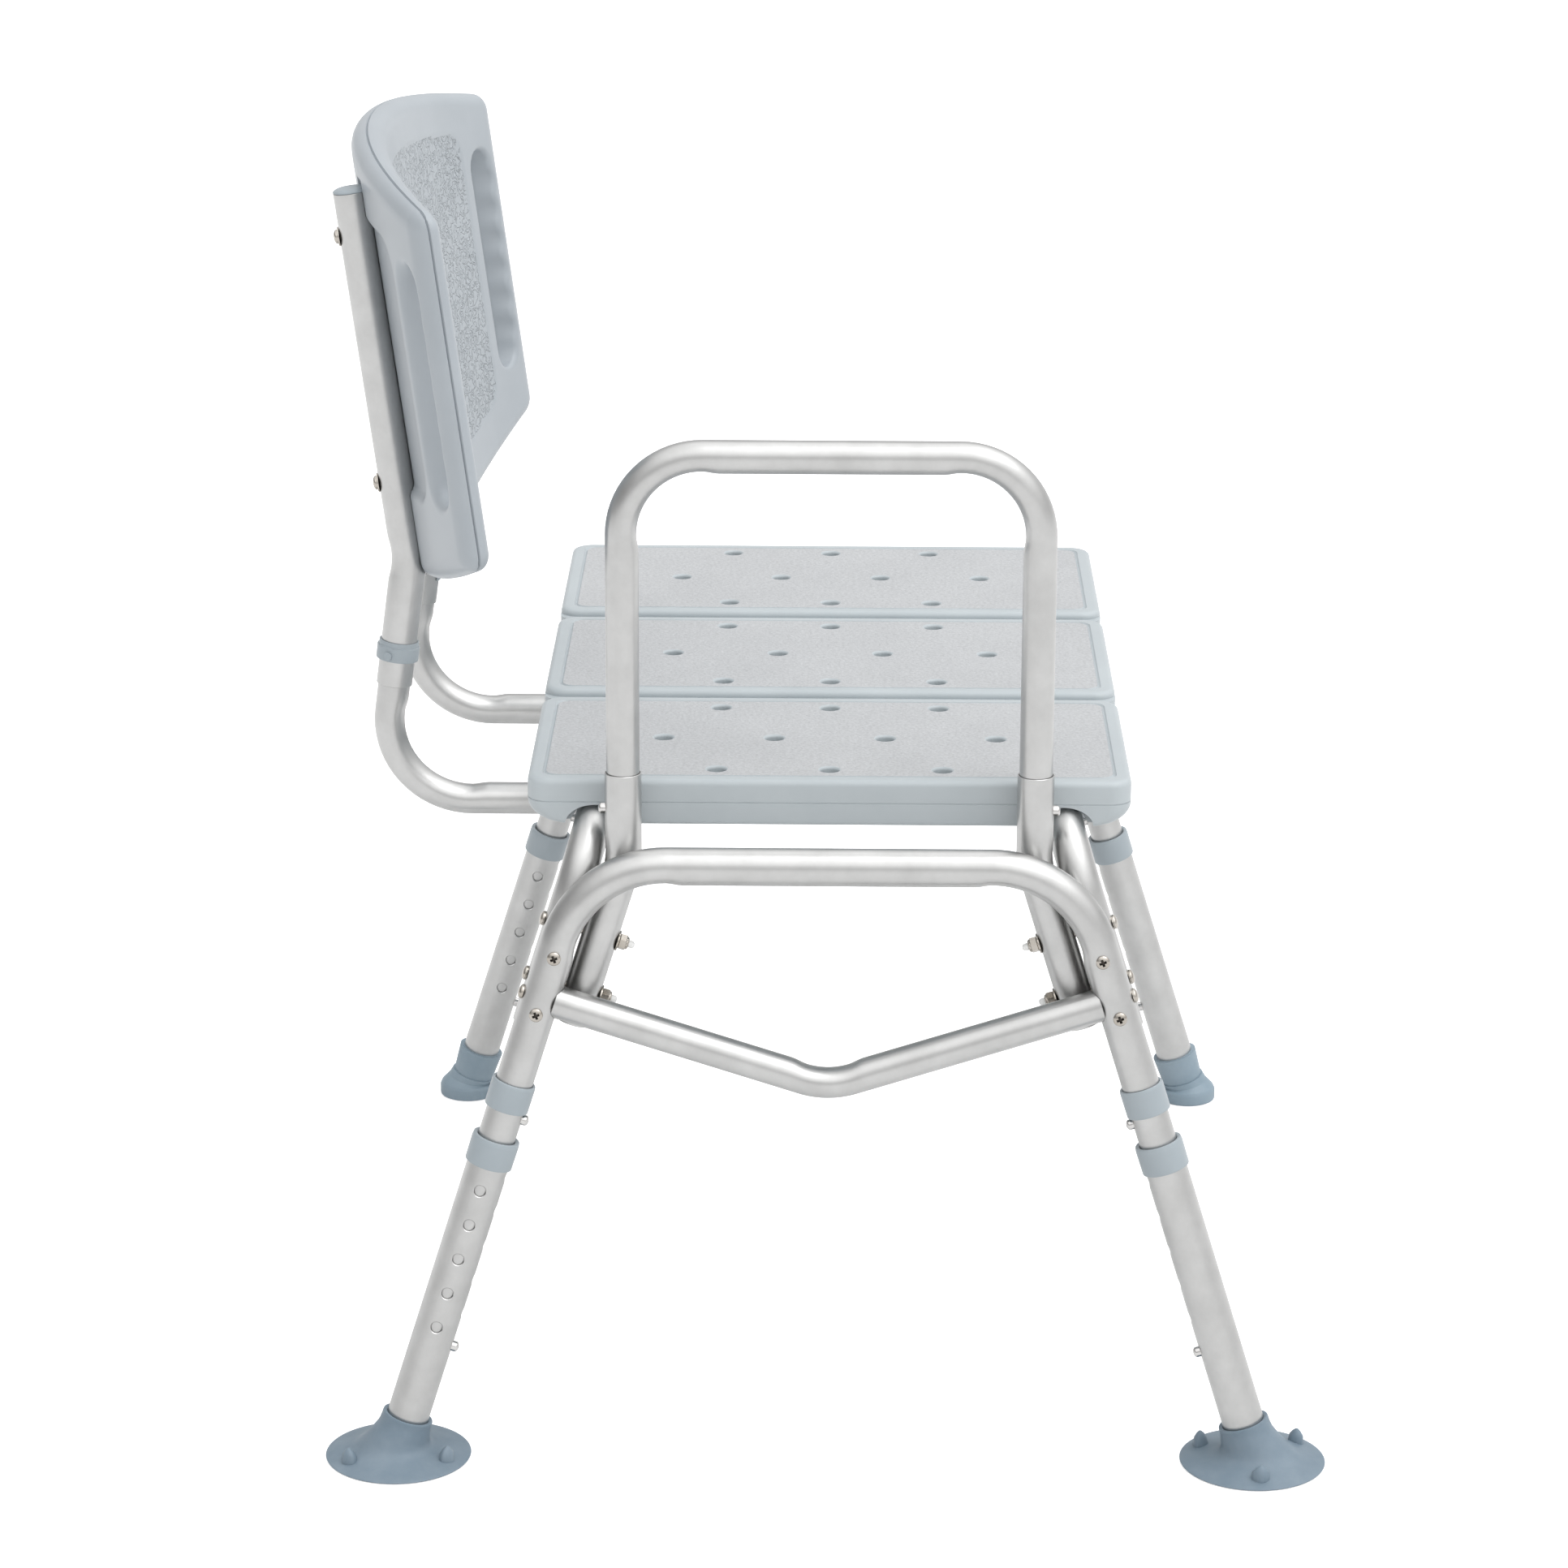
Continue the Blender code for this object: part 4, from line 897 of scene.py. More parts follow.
def leg_frame(end):
    name = "leg_frame_" + end_name(end)
    corners = [leg_point(end, 1, LEG_FRAME_END_Z), leg_point(end, 1, END_BAR_Z),
               leg_point(end, -1, END_BAR_Z), leg_point(end, -1, LEG_FRAME_END_Z)]
    item = tube(name + "_tube", corners, END_BEND_R, FRAME_R, FRAME_WALL, plane_normal(end))
    drill(item, [(leg_point(end, side, z), leg_inward(side))
                 for side in (-1, 1) for z in (LOCK_Z, UPPER_BUTTON_Z)])
    finish_piece(item, "aluminium", (name,))


def seat_rail(side):
    name = "seat_rail_" + side_name(side)
    corners = [leg_point(end, side, z, step_x=RAIL_STEP_X)
               for end, z in ((-1, RAIL_END_Z), (-1, RAIL_Z), (1, RAIL_Z), (1, RAIL_END_Z))]
    item = tube(name + "_tube", corners, RAIL_BEND_R, FRAME_R, FRAME_WALL, (0, 1, 0))
    finish_piece(item, "aluminium", (name,))


def socket_corner_z():
    return (LEG_Y_FLOOR - SOCKET_STEP_Y - SOCKET_Y) / SPREAD


def socket_x():
    return leg_point(-1, 1, socket_corner_z(), step_x=RAIL_STEP_X).x


def arm_button_place(side):
    return Vector((socket_x(), side * SOCKET_Y, ARM_BUTTON_Z)), Vector((0, side, 0))


def arm_socket(side):
    name = "arm_socket_" + side_name(side)
    corners = [Vector((socket_x(), side * SOCKET_Y, SOCKET_TOP_Z)),
               Vector((socket_x(), side * SOCKET_Y, socket_corner_z())),
               leg_point(-1, side, SOCKET_END_Z, step_x=RAIL_STEP_X, step_y=SOCKET_STEP_Y)]
    item = tube(name + "_tube", corners, SOCKET_BEND_R, SLEEVE_R, SLEEVE_WALL, (0, 1, 0), flat=0.0004)
    drill(item, [arm_button_place(side)])
    finish_piece(item, "aluminium", (name,))


def brace(end):
    name = "brace_" + end_name(end)
    ends = [leg_point(end, side, BRACE_END_Z) for side in (1, -1)]
    low_z = BRACE_END_Z - abs(ends[0].y) * SPREAD
    low = Vector((FRAME_X + end * (LEG_X_FLOOR - SPLAY * low_z), 0, low_z))
    short = [point.lerp(low, 0.045) for point in ends]
    item = tube(name + "_tube", [short[0], low, short[1]], BRACE_BEND_R, SLIM_R, SLIM_WALL, plane_normal(end))
    entries = [(leg_point(end, side, BRACE_END_Z - 0.06), leg_point(end, side, BRACE_END_Z + 0.06),
                FRAME_R + GAP) for side in (-1, 1)]
    combine(item, rods("cope", entries, sides=TUBE_SIDES))
    finish_piece(item, "aluminium", (name,))


# ---------------------------------------------------------------- legs

def lower_leg(end, side):
    name = "lower_leg_" + corner_name(end, side)
    corners = [leg_point(end, side, LOWER_TOP_Z), leg_point(end, side, LOWER_END_Z)]
    item = tube(name + "_tube", corners, 0, LOWER_R, LOWER_WALL, plane_normal(end))
    up = -leg_down(end, side)
    entries = [(leg_point(end, side, LOCK_Z) + up * (k * LEG_PITCH), leg_inward(side)) for k in range(6)]
    turned_out = plane_normal(end) * (-side * end)
    entries += [(leg_point(end, side, FRONT_HOLES_Z) + up * (k * LEG_PITCH), turned_out) for k in range(5)]
    combine(item, chamfered_holes("holes", entries, up, LOWER_R, LEG_HOLE_R, HOLE_CHAMFER))
    finish_piece(item, "aluminium", (name,))


def lower_collar(end, side):
    name = "lower_collar_" + corner_name(end, side)
    low, high = (leg_point(end, side, z) for z in LOWER_COLLAR_Z)
    length = (high - low).length
    inner = LOWER_R + GAP
    top_inner = FRAME_R + GAP
    profile = [(inner, length - 0.0022), (inner, 0.0), (LOWER_COLLAR_R, 0.0),
               (LOWER_COLLAR_R + 0.0002, length - 0.0030), (LOWER_COLLAR_R - 0.0002, length),
               (top_inner + 0.0010, length), (top_inner, length - 0.0008), (top_inner, length - 0.0022)]
    item = turned(name + "_ring", low, -leg_down(end, side), soften(profile, 0.0006), RING_SIDES)
    finish_piece(item, "collar", (name,))


def upper_collar(end, side):
    name = "upper_collar_" + corner_name(end, side)
    low, high = (leg_point(end, side, z) for z in UPPER_COLLAR_Z)
    length = (high - low).length
    inner = FRAME_R + GAP
    profile = [(inner, length * 0.5), (inner, 0.0), (UPPER_COLLAR_R, 0.0),
               (UPPER_COLLAR_R + 0.0001, length - 0.0020), (UPPER_COLLAR_R - 0.0003, length),
               (inner, length), (inner, length * 0.5)]
    item = turned(name + "_ring", low, -leg_down(end, side), soften(profile, 0.0006)[:-1], RING_SIDES)
    finish_piece(item, "collar", (name,))


def foot_rings(floor_centre, end, side, rings):
    """Rings of a foot: radius, height, lean, distance up the leg."""
    down = leg_down(end, side)
    level = Vector((0, 0, 1))
    made = []
    for radius, height, lean, distance in rings:
        low = Vector((floor_centre.x, floor_centre.y, height))
        high = leg_point(end, side, 0) - down * distance
        axis = level.lerp(-down, lean).normalized()
        first, second = across(axis, Vector((1, 0, 0)))
        made.append(circle(low.lerp(high, lean), first, second, radius, RING_SIDES))
    return made


def suction_cup(side):
    name = "suction_cup_" + side_name(side)
    centre = Vector((FRAME_X - CUP_X_FLOOR, side * CUP_Y, 0))
    socket_floor = (leg_point(-1, side, LOWER_END_Z) - leg_point(-1, side, 0)).length - 0.0004
    inner = LOWER_R + GAP
    below = [(0.0, 0.0045, 0, 0), (0.0300, 0.0035, 0, 0), (0.0470, 0.0002, 0, 0)]
    above = spline([(CUP_R, 0.0004, 0, 0), (CUP_R, 0.0013, 0, 0.0013), (0.0455, 0.0026, 0, 0.0026),
                    (0.0370, 0.0047, 0.03, 0.0047), (0.0300, 0.0072, 0.12, 0.0074),
                    (0.0245, 0.0107, 0.38, 0.0111), (0.0208, 0.0153, 0.75, 0.0160),
                    (0.0186, 0.0205, 1, 0.0214), (0.0176, 0.0255, 1, 0.0268), (0.0174, 0.0292, 1, 0.0309)],
                   CUP_STEPS)
    lip = [(0.0172, 0.0301, 1, 0.0317), (0.0167, 0.0304, 1, 0.0320), (0.0158, 0.0303, 1, 0.0319),
           (inner + 0.0001, 0.0300, 1, 0.0314), (inner, 0.0290, 1, 0.0304), (inner, 0.0, 1, socket_floor),
           (0.0, 0.0, 1, socket_floor)]
    cup = ring_solid(name + "_rubber", foot_rings(centre, -1, side, below + above + lip))
    for k in range(3):
        angle = math.radians(TAB_TURN - side * 90 + k * 120)
        combine(cup, release_tab(centre, Vector((math.cos(angle), math.sin(angle), 0))), "UNION")
    finish_piece(cup, "rubber", (name,), sharp=FOOT_SHARP)


def release_tab(centre, out):
    """Soft-edged spur of diamond section that stands up from a suction cup near its rim."""
    sideways = Vector((-out.y, out.x, 0))
    rings = []
    shape = ((0.0012, 0.0058, 0.0066), (0.0040, 0.0055, 0.0064), (0.0092, 0.0044, 0.0060),
             (0.0120, 0.0027, 0.0036), (0.0138, 0.0010, 0.0012), (0.0141, 0.0004, 0.0005))
    for z, half_depth, half_width in shape:
        ring = []
        for k in range(28):
            angle = 2 * math.pi * k / 28
            a = math.copysign(abs(math.cos(angle)) ** TAB_POWER, math.cos(angle)) * half_depth
            b = math.copysign(abs(math.sin(angle)) ** TAB_POWER, math.sin(angle)) * half_width
            ring.append(centre + out * (TAB_R + a + z * TAB_LEAN) + sideways * b + Vector((0, 0, z)))
        rings.append(ring)
    bottom = [sum(rings[0], Vector()) / len(rings[0])]
    top = [sum(rings[-1], Vector()) / len(rings[-1])]
    return ring_solid("tab", [bottom] + rings + [top])


def rubber_tip(side):
    name = "rubber_tip_" + side_name(side)
    centre = leg_point(1, side, 0.0045)
    socket_floor = (leg_point(1, side, LOWER_END_Z) - leg_point(1, side, 0)).length - 0.0004
    inner = LOWER_R + GAP
    outline = [(0.0, 0.0, 0, 0), (TIP_R - 0.0006, 0.0, 0, 0), (TIP_R, 0.0010, 0, 0), (TIP_R, 0.0080, 0, 0),
               (TIP_R - 0.0012, 0.0104, 0.1, 0.0110), (0.0180, 0.0132, 0.7, 0.0142),
               (0.0172, 0.0, 1, 0.0185), (0.0163, 0.0, 1, 0.0408), (inner + 0.0004, 0.0, 1, 0.0410),
               (inner, 0.0, 1, 0.0395), (inner, 0.0, 1, socket_floor), (0.0, 0.0, 1, socket_floor)]
    tip = ring_solid(name + "_rubber", foot_rings(centre, 1, side, soften(outline, 0.0012, 4)))
    finish_piece(tip, "tip", (name,), sharp=FOOT_SHARP)


def legs():
    for end in (-1, 1):
        for side in (-1, 1):
            tag = corner_name(end, side)
            lower_leg(end, side)
            lower_collar(end, side)
            upper_collar(end, side)
            button("leg_button_" + tag, leg_point(end, side, LOCK_Z), leg_inward(side),
                   FRAME_R + GAP, LOWER_R + BUTTON_PROUD)
            button("spare_button_" + tag, leg_point(end, side, UPPER_BUTTON_Z), leg_inward(side),
                   0.0080, FRAME_R + BUTTON_PROUD)
    for side in (-1, 1):
        suction_cup(side)
        rubber_tip(side)


# ---------------------------------------------------------------- arm rail

def arm_rail():
    x = socket_x()
    corners = [Vector((x, SOCKET_Y, ARM_END_Z)), Vector((x, SOCKET_Y, ARM_TOP_Z)),
               Vector((x, -SOCKET_Y, ARM_TOP_Z)), Vector((x, -SOCKET_Y, ARM_END_Z))]
    item = tube("arm_rail_tube", corners, ARM_BEND_R, SLIM_R, SLIM_WALL, (0, 1, 0))
    drill(item, [arm_button_place(side) for side in (-1, 1)])
    finish_piece(item, "aluminium", ("arm_rail",))
    for side in (-1, 1):
        centre, out = arm_button_place(side)
        button("arm_button_" + side_name(side), centre, out, SLIM_R + GAP, SLEEVE_R + BUTTON_PROUD)


# ---------------------------------------------------------------- backrest

def post_x(hand):
    return BACK_X + hand * POST_STEP_X


def lower_post_point(hand, z):
    return Vector((post_x(hand), POST_KNEE_Y + POST_LEAN * (POST_KNEE_Z - z), z))


def back_button_place(hand):
    return lower_post_point(hand, BACK_COLLAR_Z), Vector((-hand, 0, 0))


def upper_post_point(hand, z):
    return Vector((post_x(hand), POST_KNEE_Y + POST_TILT * (z - POST_KNEE_Z), z))


def post_up():
    return Vector((0, -POST_LEAN, 1)).normalized()


def panel_axes():
    up = Vector((0, POST_TILT, 1)).normalized()
    return Vector((1, 0, 0)), Vector((0, -up.z, up.y)), up


def panel_point(x, t, h):
    side, forward, up = panel_axes()
    origin = Vector((BACK_X, BACK_ORIGIN_Y, BACK_ORIGIN_Z))
    return origin + side * x + forward * t + up * h


def back_support(hand):
    name = "back_support_" + end_name(hand)
    low = lower_post_point(hand, SUPPORT_Z)
    corners = [Vector((low.x, SUPPORT_END_Y, SUPPORT_Z)), low, lower_post_point(hand, SUPPORT_TOP_Z)]
    item = tube(name + "_tube", corners, SUPPORT_BEND_R, SLIM_R, SLIM_WALL, (1, 0, 0))
    drill(item, [back_button_place(hand)])
    finish_piece(item, "aluminium", (name,))


def back_post(hand):
    name = "back_post_" + end_name(hand)
    corners = [lower_post_point(hand, POST_BOTTOM_Z), lower_post_point(hand, POST_KNEE_Z),
               upper_post_point(hand, POST_TOP_Z)]
    item = tube(name + "_tube", corners, POST_BEND_R, SLEEVE_R, SLEEVE_WALL, (1, 0, 0), flat=0.0009)
    drill(item, [back_button_place(hand)])
    finish_piece(item, "aluminium", (name,))
    up = panel_axes()[2]
    inner = SLEEVE_R - SLEEVE_WALL - GAP
    profile = [(0.0, -0.012), (inner, -0.012), (inner, 0.0001), (SLEEVE_R, 0.0001), (SLEEVE_R, 0.0014),
               (SLEEVE_R * 0.80, 0.0028), (0.0, 0.0034)]
    cap = turned("post_cap_{}_plug".format(end_name(hand)), upper_post_point(hand, POST_TOP_Z), up,
                 soften(profile, 0.0010), RING_SIDES)
    finish_piece(cap, "collar", ("post_cap_" + end_name(hand),))
    forward = panel_axes()[1]
    for number, z in enumerate(BACK_SCREW_Z, 1):
        node_name = "back_screw_{}_{}".format(end_name(hand), number)
        base = upper_post_point(hand, z) - forward * (SLEEVE_R - 0.0003)
        pan_screw(node_name + "_head", base - forward * 0.0012, -forward, BACK_SCREW_HEAD,
                  nodes=(node_name,), depth=0.0060)
        washer = turned(node_name + "_washer", base, -forward,
                        soften([(0.0024, 0.0), (0.0066, 0.0), (0.0066, 0.0012), (0.0024, 0.0012)], 0.0003))
        finish_steel(washer, body="back")


def back_collar(hand):
    """Clip round a post's foot, open where the lock button is, with a round pad to push it off."""
    name = "back_collar_" + end_name(hand)
    flip = 1 if hand < 0 else -1
    up = post_up() * flip
    base = lower_post_point(hand, BACK_COLLAR_Z) - up * 0.0065
    out = Vector((hand, 0, 0))
    second = up.cross(out)
    inner = SLEEVE_R + GAP
    profile = soften([(inner, 0.0), (0.0146, 0.0), (0.0147, 0.0098), (0.0137, 0.0100), (0.0136, 0.0134),
                      (inner, 0.0134)], 0.0005, 3)
    loops = []
    for k in range(CLIP_STEPS + 1):
        angle = CLIP_HALF_TURN * (2 * k / CLIP_STEPS - 1)
        radial = out * math.cos(angle) + second * math.sin(angle)
        loops.append([base + radial * radius + up * distance for radius, distance in profile])
    item = stacks(name + "_clip", [loops])
    towards = out * 0.92 + Vector((0, 0.39, 0))
    pad = base + up * 0.0048 + towards * 0.0135
    combine(item, rods("pad", [(pad, pad + towards * 0.0024, CLIP_PAD_R)]), "UNION")
    finish_piece(item, "collar", (name,))


def wing_share(x):
    return abs(x) / (BACK_WIDTH / 2)


def panel_middle(x):
    return BACK_WRAP * wing_share(x) ** 2.1


def panel_half(x):
    return BACK_HALF_MIDDLE + (BACK_HALF_WING - BACK_HALF_MIDDLE) * wing_share(x) ** 2


def edge_height(x, top):
    share = min(wing_share(x), 1)
    if top:
        return -BACK_TOP_DROP * share ** 2
    return -BACK_HEIGHT + BACK_BOTTOM_RISE * share ** 2


def panel_outline():
    """The panel's outline as four lines of points, below, above, left and right, which meet in
    the middle of the rounded corners."""
    half = BACK_WIDTH / 2
    arcs = {}
    for top in (False, True):
        sign = 1 if top else -1
        bend = BACK_TOP_DROP if top else BACK_BOTTOM_RISE
        slope = math.atan(2 * bend / half)
        reach = BACK_CORNER_R * math.tan((math.pi / 2 - slope) / 2)
        hub = Vector((half - BACK_CORNER_R, edge_height(half, top) - sign * reach))
        arc = []
        for k in range(25):
            angle = (math.pi / 2 - slope) * k / 24
            arc.append(hub + Vector((math.cos(angle), sign * math.sin(angle))) * BACK_CORNER_R)
        arcs[top] = arc
    sides = []
    for top in (False, True):
        arc = arcs[top][12:]
        reach = arc[-1].x
        middle = [Vector((x, edge_height(x, top))) for x in (reach * (1 - k / 60) for k in range(1, 60))]
        right_half = arc + middle
        left_half = [Vector((-point.x, point.y)) for point in right_half]
        sides.append(left_half + [Vector((0.0, edge_height(0.0, top)))] + list(reversed(right_half)))
    right = list(reversed(arcs[False][:13])) + arcs[True][:13]
    sides.append([Vector((-point.x, point.y)) for point in right])
    sides.append(right)
    return sides


def resample(line, shares):
    """Points at the given shares of a line's length."""
    walked = [0.0]
    for before, after in zip(line, line[1:]):
        walked.append(walked[-1] + (after - before).length)
    made = []
    here = 0
    for share in shares:
        goal = share * walked[-1]
        while here < len(line) - 2 and walked[here + 1] < goal:
            here += 1
        step = walked[here + 1] - walked[here]
        made.append(line[here].lerp(line[here + 1], (goal - walked[here]) / step))
    return made


def outline_distances(places, outline):
    """Distance from each place to the closed outline."""
    start = numpy.array([tuple(point) for point in outline])
    way = numpy.roll(start, -1, axis=0) - start
    square = (way ** 2).sum(axis=1)
    distances = []
    for place in places:
        away = numpy.array(tuple(place)) - start
        share = numpy.clip((away * way).sum(axis=1) / square, 0, 1)
        distances.append(float(numpy.sqrt(((away - way * share[:, None]) ** 2).sum(axis=1).min())))
    return distances


def box_inside(x, h, half_x, low, high, corner):
    """Distance inside a rounded box that follows the panel's edges."""
    from_side = half_x - abs(x)
    near = min(high - h, h - low)
    if from_side < corner and near < corner:
        return corner - math.hypot(corner - from_side, corner - near)
    return min(from_side, near)


PATCH_HALF_X = 0.1790
PATCH_TOP = 0.0320
PATCH_LOW = 0.0400
PATCH_CORNER_R = 0.0160
PATCH_STEP = 0.0006


def patch_inside(x, h):
    low = edge_height(x, False) + PATCH_LOW
    high = edge_height(x, True) - PATCH_TOP
    return box_inside(x, h, PATCH_HALF_X, low, high, PATCH_CORNER_R)


def front_t(x, h, depth):
    near = 1 - min(depth / BACK_EDGE_R, 1)
    t = panel_half(x) * math.sqrt(max(1 - near ** 2, 0))
    return panel_middle(x) + t - PATCH_STEP * smooth_step(patch_inside(x, h), -0.0010, 0.0010)


def rear_t(x, h, depth):
    near = 1 - min(depth / BACK_EDGE_R, 1)
    t = panel_half(x) * math.sqrt(max(1 - near ** 2, 0))
    hollow = box_inside(x, h, 0.1780, -0.2480 + 0.02 * wing_share(x), -0.0420 - 0.02 * wing_share(x), 0.0200)
    return panel_middle(x) - t + BACK_RECESS * smooth_step(hollow, -0.0040, 0.0040)


def warped(count, length, insets):
    """Shares from 0 to 1: the insets from both ends, and even steps between."""
    low = [inset / length for inset in insets]
    middle = [low[-1] + (1 - 2 * low[-1]) * k / count for k in range(1, count)]
    return low + middle + [1 - share for share in reversed(low)]


def backrest_panel():
    insets = (0.0, 0.0003, 0.0008, 0.0016, 0.0027, 0.0041, 0.0059, 0.0082, 0.0110)
    us = warped(210, BACK_WIDTH, insets)
    vs = warped(125, BACK_HEIGHT - 0.06, insets)
    low_side, top_side, left_side, right_side = panel_outline()
    outline = low_side + right_side[1:] + list(reversed(top_side))[1:] + list(reversed(left_side))[1:-1]
    low_side = resample(low_side, us)
    top_side = resample(top_side, us)
    left_side = resample(left_side, vs)
    right_side = resample(right_side, vs)
    flat = {}
    for i, u in enumerate(us):
        for j, v in enumerate(vs):
            level = low_side[i] * (1 - v) + top_side[i] * v
            upright = left_side[j] * (1 - u) + right_side[j] * u
            corners = (low_side[0] * (1 - u) + low_side[-1] * u) * (1 - v) \
                + (top_side[0] * (1 - u) + top_side[-1] * u) * v
            flat[i, j] = level + upright - corners
    last_i = len(us) - 1
    last_j = len(vs) - 1
    depths = dict(zip(flat, outline_distances(flat.values(), outline)))
    points = []
    index = {}
    split = 0.0009
    for face, height in ((1, front_t), (-1, rear_t)):
        for i in range(last_i + 1):
            for j in range(last_j + 1):
                x, h = flat[i, j]
                rim = i in (0, last_i) or j in (0, last_j)
                t = panel_middle(x) + face * split if rim else height(x, h, depths[i, j])
                index[face, i, j] = len(points)
                points.append(panel_point(x, t, h))
    faces = []
    for face in (1, -1):
        for i in range(last_i):
            for j in range(last_j):
                quad = [index[face, i + di, j + dj] for di, dj in ((0, 0), (1, 0), (1, 1), (0, 1))]
                faces.append(quad if face == 1 else quad[::-1])
    loop = [(i, 0) for i in range(last_i)] + [(last_i, j) for j in range(last_j)]
    loop += [(i, last_j) for i in range(last_i, 0, -1)] + [(0, j) for j in range(last_j, 0, -1)]
    centre = Vector((0, -BACK_HEIGHT / 2))
    base = len(points)
    for number, key in enumerate(loop):
        before = flat[loop[number - 1]]
        after = flat[loop[(number + 1) % len(loop)]]
        along = (after - before).normalized()
        inward = Vector((-along.y, along.x))
        if inward.dot(centre - flat[key]) < 0:
            inward = -inward
        x, h = flat[key] + inward * 0.0014
        points.append(panel_point(x, panel_middle(x), h))
    count = len(loop)
    for number in range(count):
        after = (number + 1) % count
        for face in (1, -1):
            a = index[(face,) + loop[number]]
            b = index[(face,) + loop[after]]
            faces.append((a, b, base + after, base + number))
    item = raw_object("backrest_panel_shell", points, faces)
    side, forward, up = panel_axes()
    origin = panel_point(0, 0, 0)
    for polygon in item.data.polygons:
        away = polygon.center - origin
        front = polygon.normal.dot(forward) > 0.3
        inside = patch_inside(away.dot(side), away.dot(up)) > 0
        polygon.material_index = 1 if front and inside else 0
    item.data.materials.append(LOOKS["back_smooth"])
    item.data.materials.append(LOOKS["back_patch"])
    for hand in (-1, 1):
        combine(item, grip_cutter(hand))
        top = upper_post_point(hand, POST_TOP_Z + 0.0080)
        low = upper_post_point(hand, POST_KNEE_Z - 0.08)
        combine(item, rods("groove", [(low, top, SLEEVE_R + 0.0004)], sides=TUBE_SIDES))
    finish_piece(item, ("back_smooth", "back_patch"), ("backrest_panel",), sharp=math.radians(40))


def grip_outline(finger_depth):
    outline = []
    length = GRIP_TOP_H - GRIP_BOTTOM_H
    arc = GRIP_HALF_WIDTH
    for k in range(17):
        angle = math.pi - math.pi * k / 16
        outline.append(Vector((arc * math.cos(angle), GRIP_TOP_H - arc + arc * math.sin(angle))))
    straight = length - 2 * arc
    steps = GRIP_FINGERS * 10
    for k in range(1, steps):
        share = k / steps
        wave = finger_depth * math.sin(math.pi * GRIP_FINGERS * share) ** 2
        outline.append(Vector((arc + wave, GRIP_TOP_H - arc - straight * share)))
    for k in range(17):
        angle = -math.pi * k / 16
        outline.append(Vector((arc * math.cos(angle), GRIP_BOTTOM_H + arc + arc * math.sin(angle))))
    for k in range(1, 24):
        outline.append(Vector((-arc, GRIP_BOTTOM_H + arc + straight * k / 24)))
    return outline


def grip_cutter(hand):
    """Hand grip: a slot whose rims are rounded over, more so at the rear."""
    rims = []
    for face, radius in ((1, 0.0036), (-1, 0.0070)):
        steps = 7
        run = []
        for k in range(steps + 1):
            angle = math.pi / 2 * k / steps
            run.append((face, radius * (1 - math.cos(angle)), radius * (1 - math.sin(angle))))
        run.append((face, radius + 0.0012, -0.0040))
        rims.append(run)
    sections = list(reversed(rims[1])) + rims[0]
    rings = []
    for face, spread, depth in sections:
        outline = grip_outline(FINGER_DEPTH if face == 1 else FINGER_DEPTH * 0.2)
        count = len(outline)
        ring = []
        for k, point in enumerate(outline):
            along = (outline[(k + 1) % count] - outline[k - 1]).normalized()
            out = Vector((-along.y, along.x))
            x = GRIP_X + point.x + out.x * spread
            h = point.y + out.y * spread
            t = panel_middle(x) + face * (panel_half(x) - depth)
            ring.append(panel_point(hand * x, t, h))
        rings.append(ring)
    return stacks("grip", [rings])


def backrest():
    backrest_panel()
    for hand in (-1, 1):
        back_support(hand)
        back_post(hand)
        back_collar(hand)
        centre, out = back_button_place(hand)
        button("back_button_" + end_name(hand), centre, out, SLIM_R + GAP, SLEEVE_R + BUTTON_PROUD)


# ---------------------------------------------------------------- studio

# Pitch, yaw and roll are in radians.  The camera looks from the rail end towards +X.
CAMERA_PLACE = (-3.4594, 0.00006, 1.4597)
CAMERA_PITCH = 0.3032
CAMERA_YAW = 0.0095
CAMERA_ROLL = 0.0037
SENSOR_MM = 36.0
LENS_MM = 114.79

FLOOR_HALF = 40.0
FLOOR_Z = -0.0002
BASE_LIGHT = 0.38
# Direction, cosines where the bank starts and is full, and strength: overhead, beside the
# camera, behind the bench and on the user's side.
LIGHT_BANKS = (((-0.20, -0.12, 0.97), 0.30, 0.90, 1.05), ((-0.92, 0.05, 0.40), 0.60, 0.95, 0.22),
               ((1.0, 0.0, 0.25), 0.3, 0.9, 0.30), ((-0.2, -1.0, 0.2), -0.2, 0.9, 0.34))
SUN_FROM = Vector((-0.22, -0.38, 0.90))
SUN_ENERGY = 0.65
SUN_ANGLE = math.radians(40)


def floor():
    points = [(x, y, FLOOR_Z) for x, y in ((-FLOOR_HALF, -FLOOR_HALF), (FLOOR_HALF, -FLOOR_HALF),
                                           (FLOOR_HALF, FLOOR_HALF), (-FLOOR_HALF, FLOOR_HALF))]
    item = raw_object("studio_floor", points, [(0, 1, 2, 3)])
    made, tree, shader = new_material("studio_floor")
    place = tree.nodes.new("ShaderNodeTexCoord").outputs["Object"]
    blotches(tree, place, 0.6, (0.80, 0.80, 0.80), (0.82, 0.82, 0.82), shader)
    shader.inputs["Roughness"].default_value = 0.9
    shader.inputs["Specular IOR Level"].default_value = 0.0
    shader.inputs["Emission Color"].default_value = (1.0, 1.0, 1.0, 1)
    lift = node(tree, "ShaderNodeMath", operation="MULTIPLY")
    lift.inputs[1].default_value = FLOOR_LIFT
    wire(tree.nodes.new("ShaderNodeLightPath").outputs["Is Camera Ray"], lift.inputs[0])
    wire(lift.outputs["Value"], shader.inputs["Emission Strength"])
    item.data.materials.append(made)


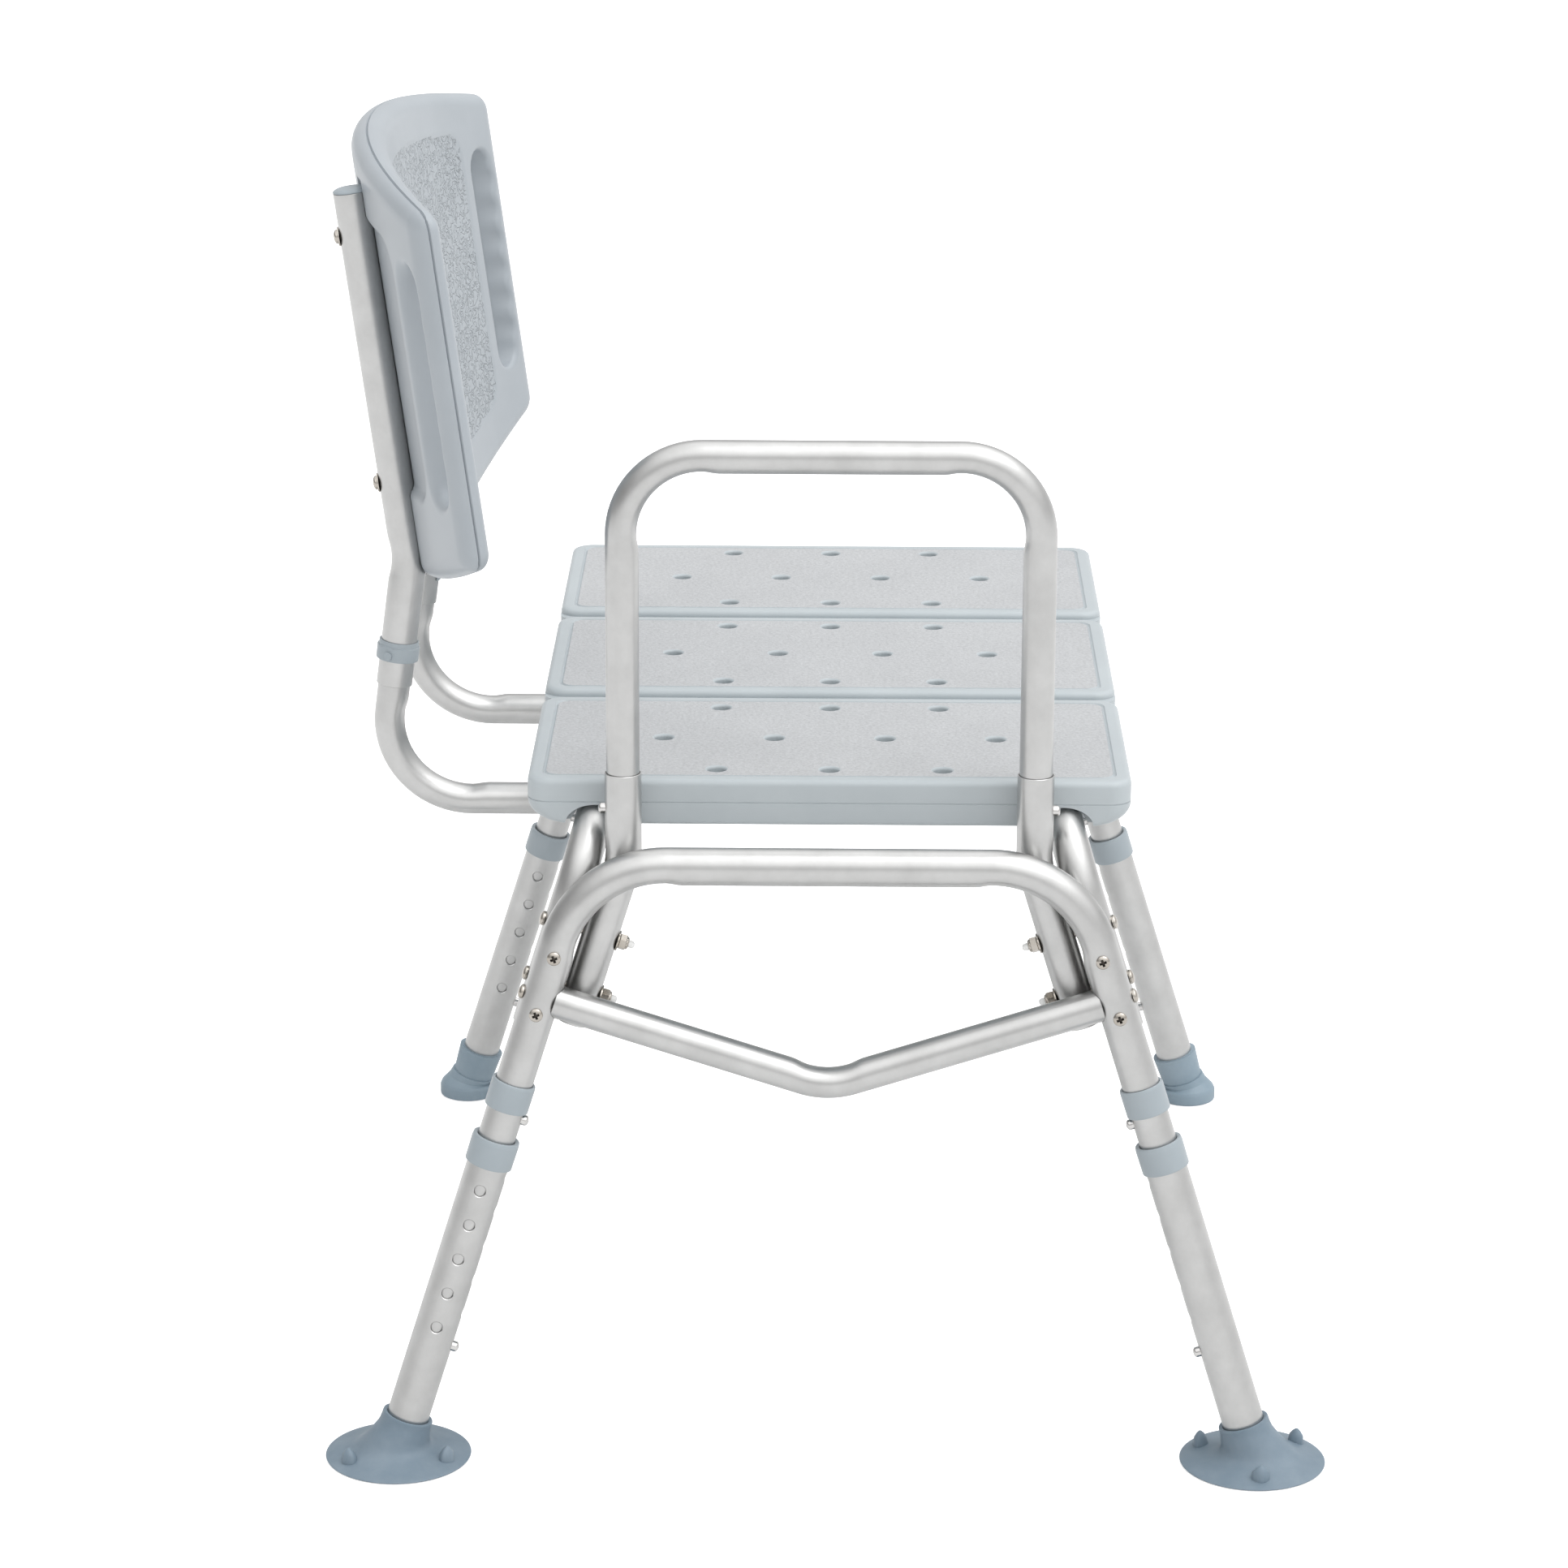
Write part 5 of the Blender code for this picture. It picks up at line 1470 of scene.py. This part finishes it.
def sky():
    """Soft studio light: an even base with broad banks over it, and a soft sun."""
    world = bpy.data.worlds.new("studio")
    world.use_nodes = True
    bpy.context.scene.world = world
    tree = world.node_tree
    background = tree.nodes["Background"]
    place = tree.nodes.new("ShaderNodeTexCoord").outputs["Generated"]
    total = None
    for way, low, high, strength in LIGHT_BANKS:
        dot = node(tree, "ShaderNodeVectorMath", operation="DOT_PRODUCT")
        dot.inputs[1].default_value = Vector(way).normalized()
        wire(place, dot.inputs[0])
        bank = remap(tree, dot.outputs["Value"], (low, high), (0.0, strength),
                     interpolation_type="SMOOTHSTEP")
        add = node(tree, "ShaderNodeMath", operation="ADD")
        add.inputs[1].default_value = BASE_LIGHT
        wire(bank, add.inputs[0])
        if total is not None:
            wire(total, add.inputs[1])
        total = add.outputs["Value"]
    wire(total, background.inputs["Strength"])
    background.inputs["Color"].default_value = (1.0, 1.0, 1.0, 1)
    sun = bpy.data.lights.new("key", "SUN")
    sun.energy = SUN_ENERGY
    sun.angle = SUN_ANGLE
    item = bpy.data.objects.new("key", sun)
    bpy.context.collection.objects.link(item)
    item.rotation_euler = SUN_FROM.to_track_quat("Z", "Y").to_euler()


def camera():
    data = bpy.data.cameras.new("camera")
    item = bpy.data.objects.new("camera", data)
    bpy.context.collection.objects.link(item)
    level = math.cos(CAMERA_PITCH)
    forward = Vector((level * math.cos(CAMERA_YAW), level * math.sin(CAMERA_YAW), -math.sin(CAMERA_PITCH)))
    right = forward.cross(Vector((0, 0, 1))).normalized()
    up = right.cross(forward)
    rolled_right = right * math.cos(CAMERA_ROLL) + up * math.sin(CAMERA_ROLL)
    rolled_up = up * math.cos(CAMERA_ROLL) - right * math.sin(CAMERA_ROLL)
    turn = Matrix((rolled_right, rolled_up, -forward)).transposed().to_4x4()
    item.matrix_world = Matrix.Translation(CAMERA_PLACE) @ turn
    data.sensor_width = SENSOR_MM
    data.lens = LENS_MM
    data.clip_end = 200.0
    bpy.context.scene.camera = item


def main():
    bpy.context.scene.view_settings.view_transform = "Standard"
    for number in (-1, 0, 1):
        seat_panel(number)
    for side in (-1, 1):
        seat_rail(side)
        arm_socket(side)
    for end in (-1, 1):
        leg_frame(end)
        brace(end)
    frame_screws()
    socket_bolts()
    legs()
    arm_rail()
    backrest()
    floor()
    sky()
    camera()


main()
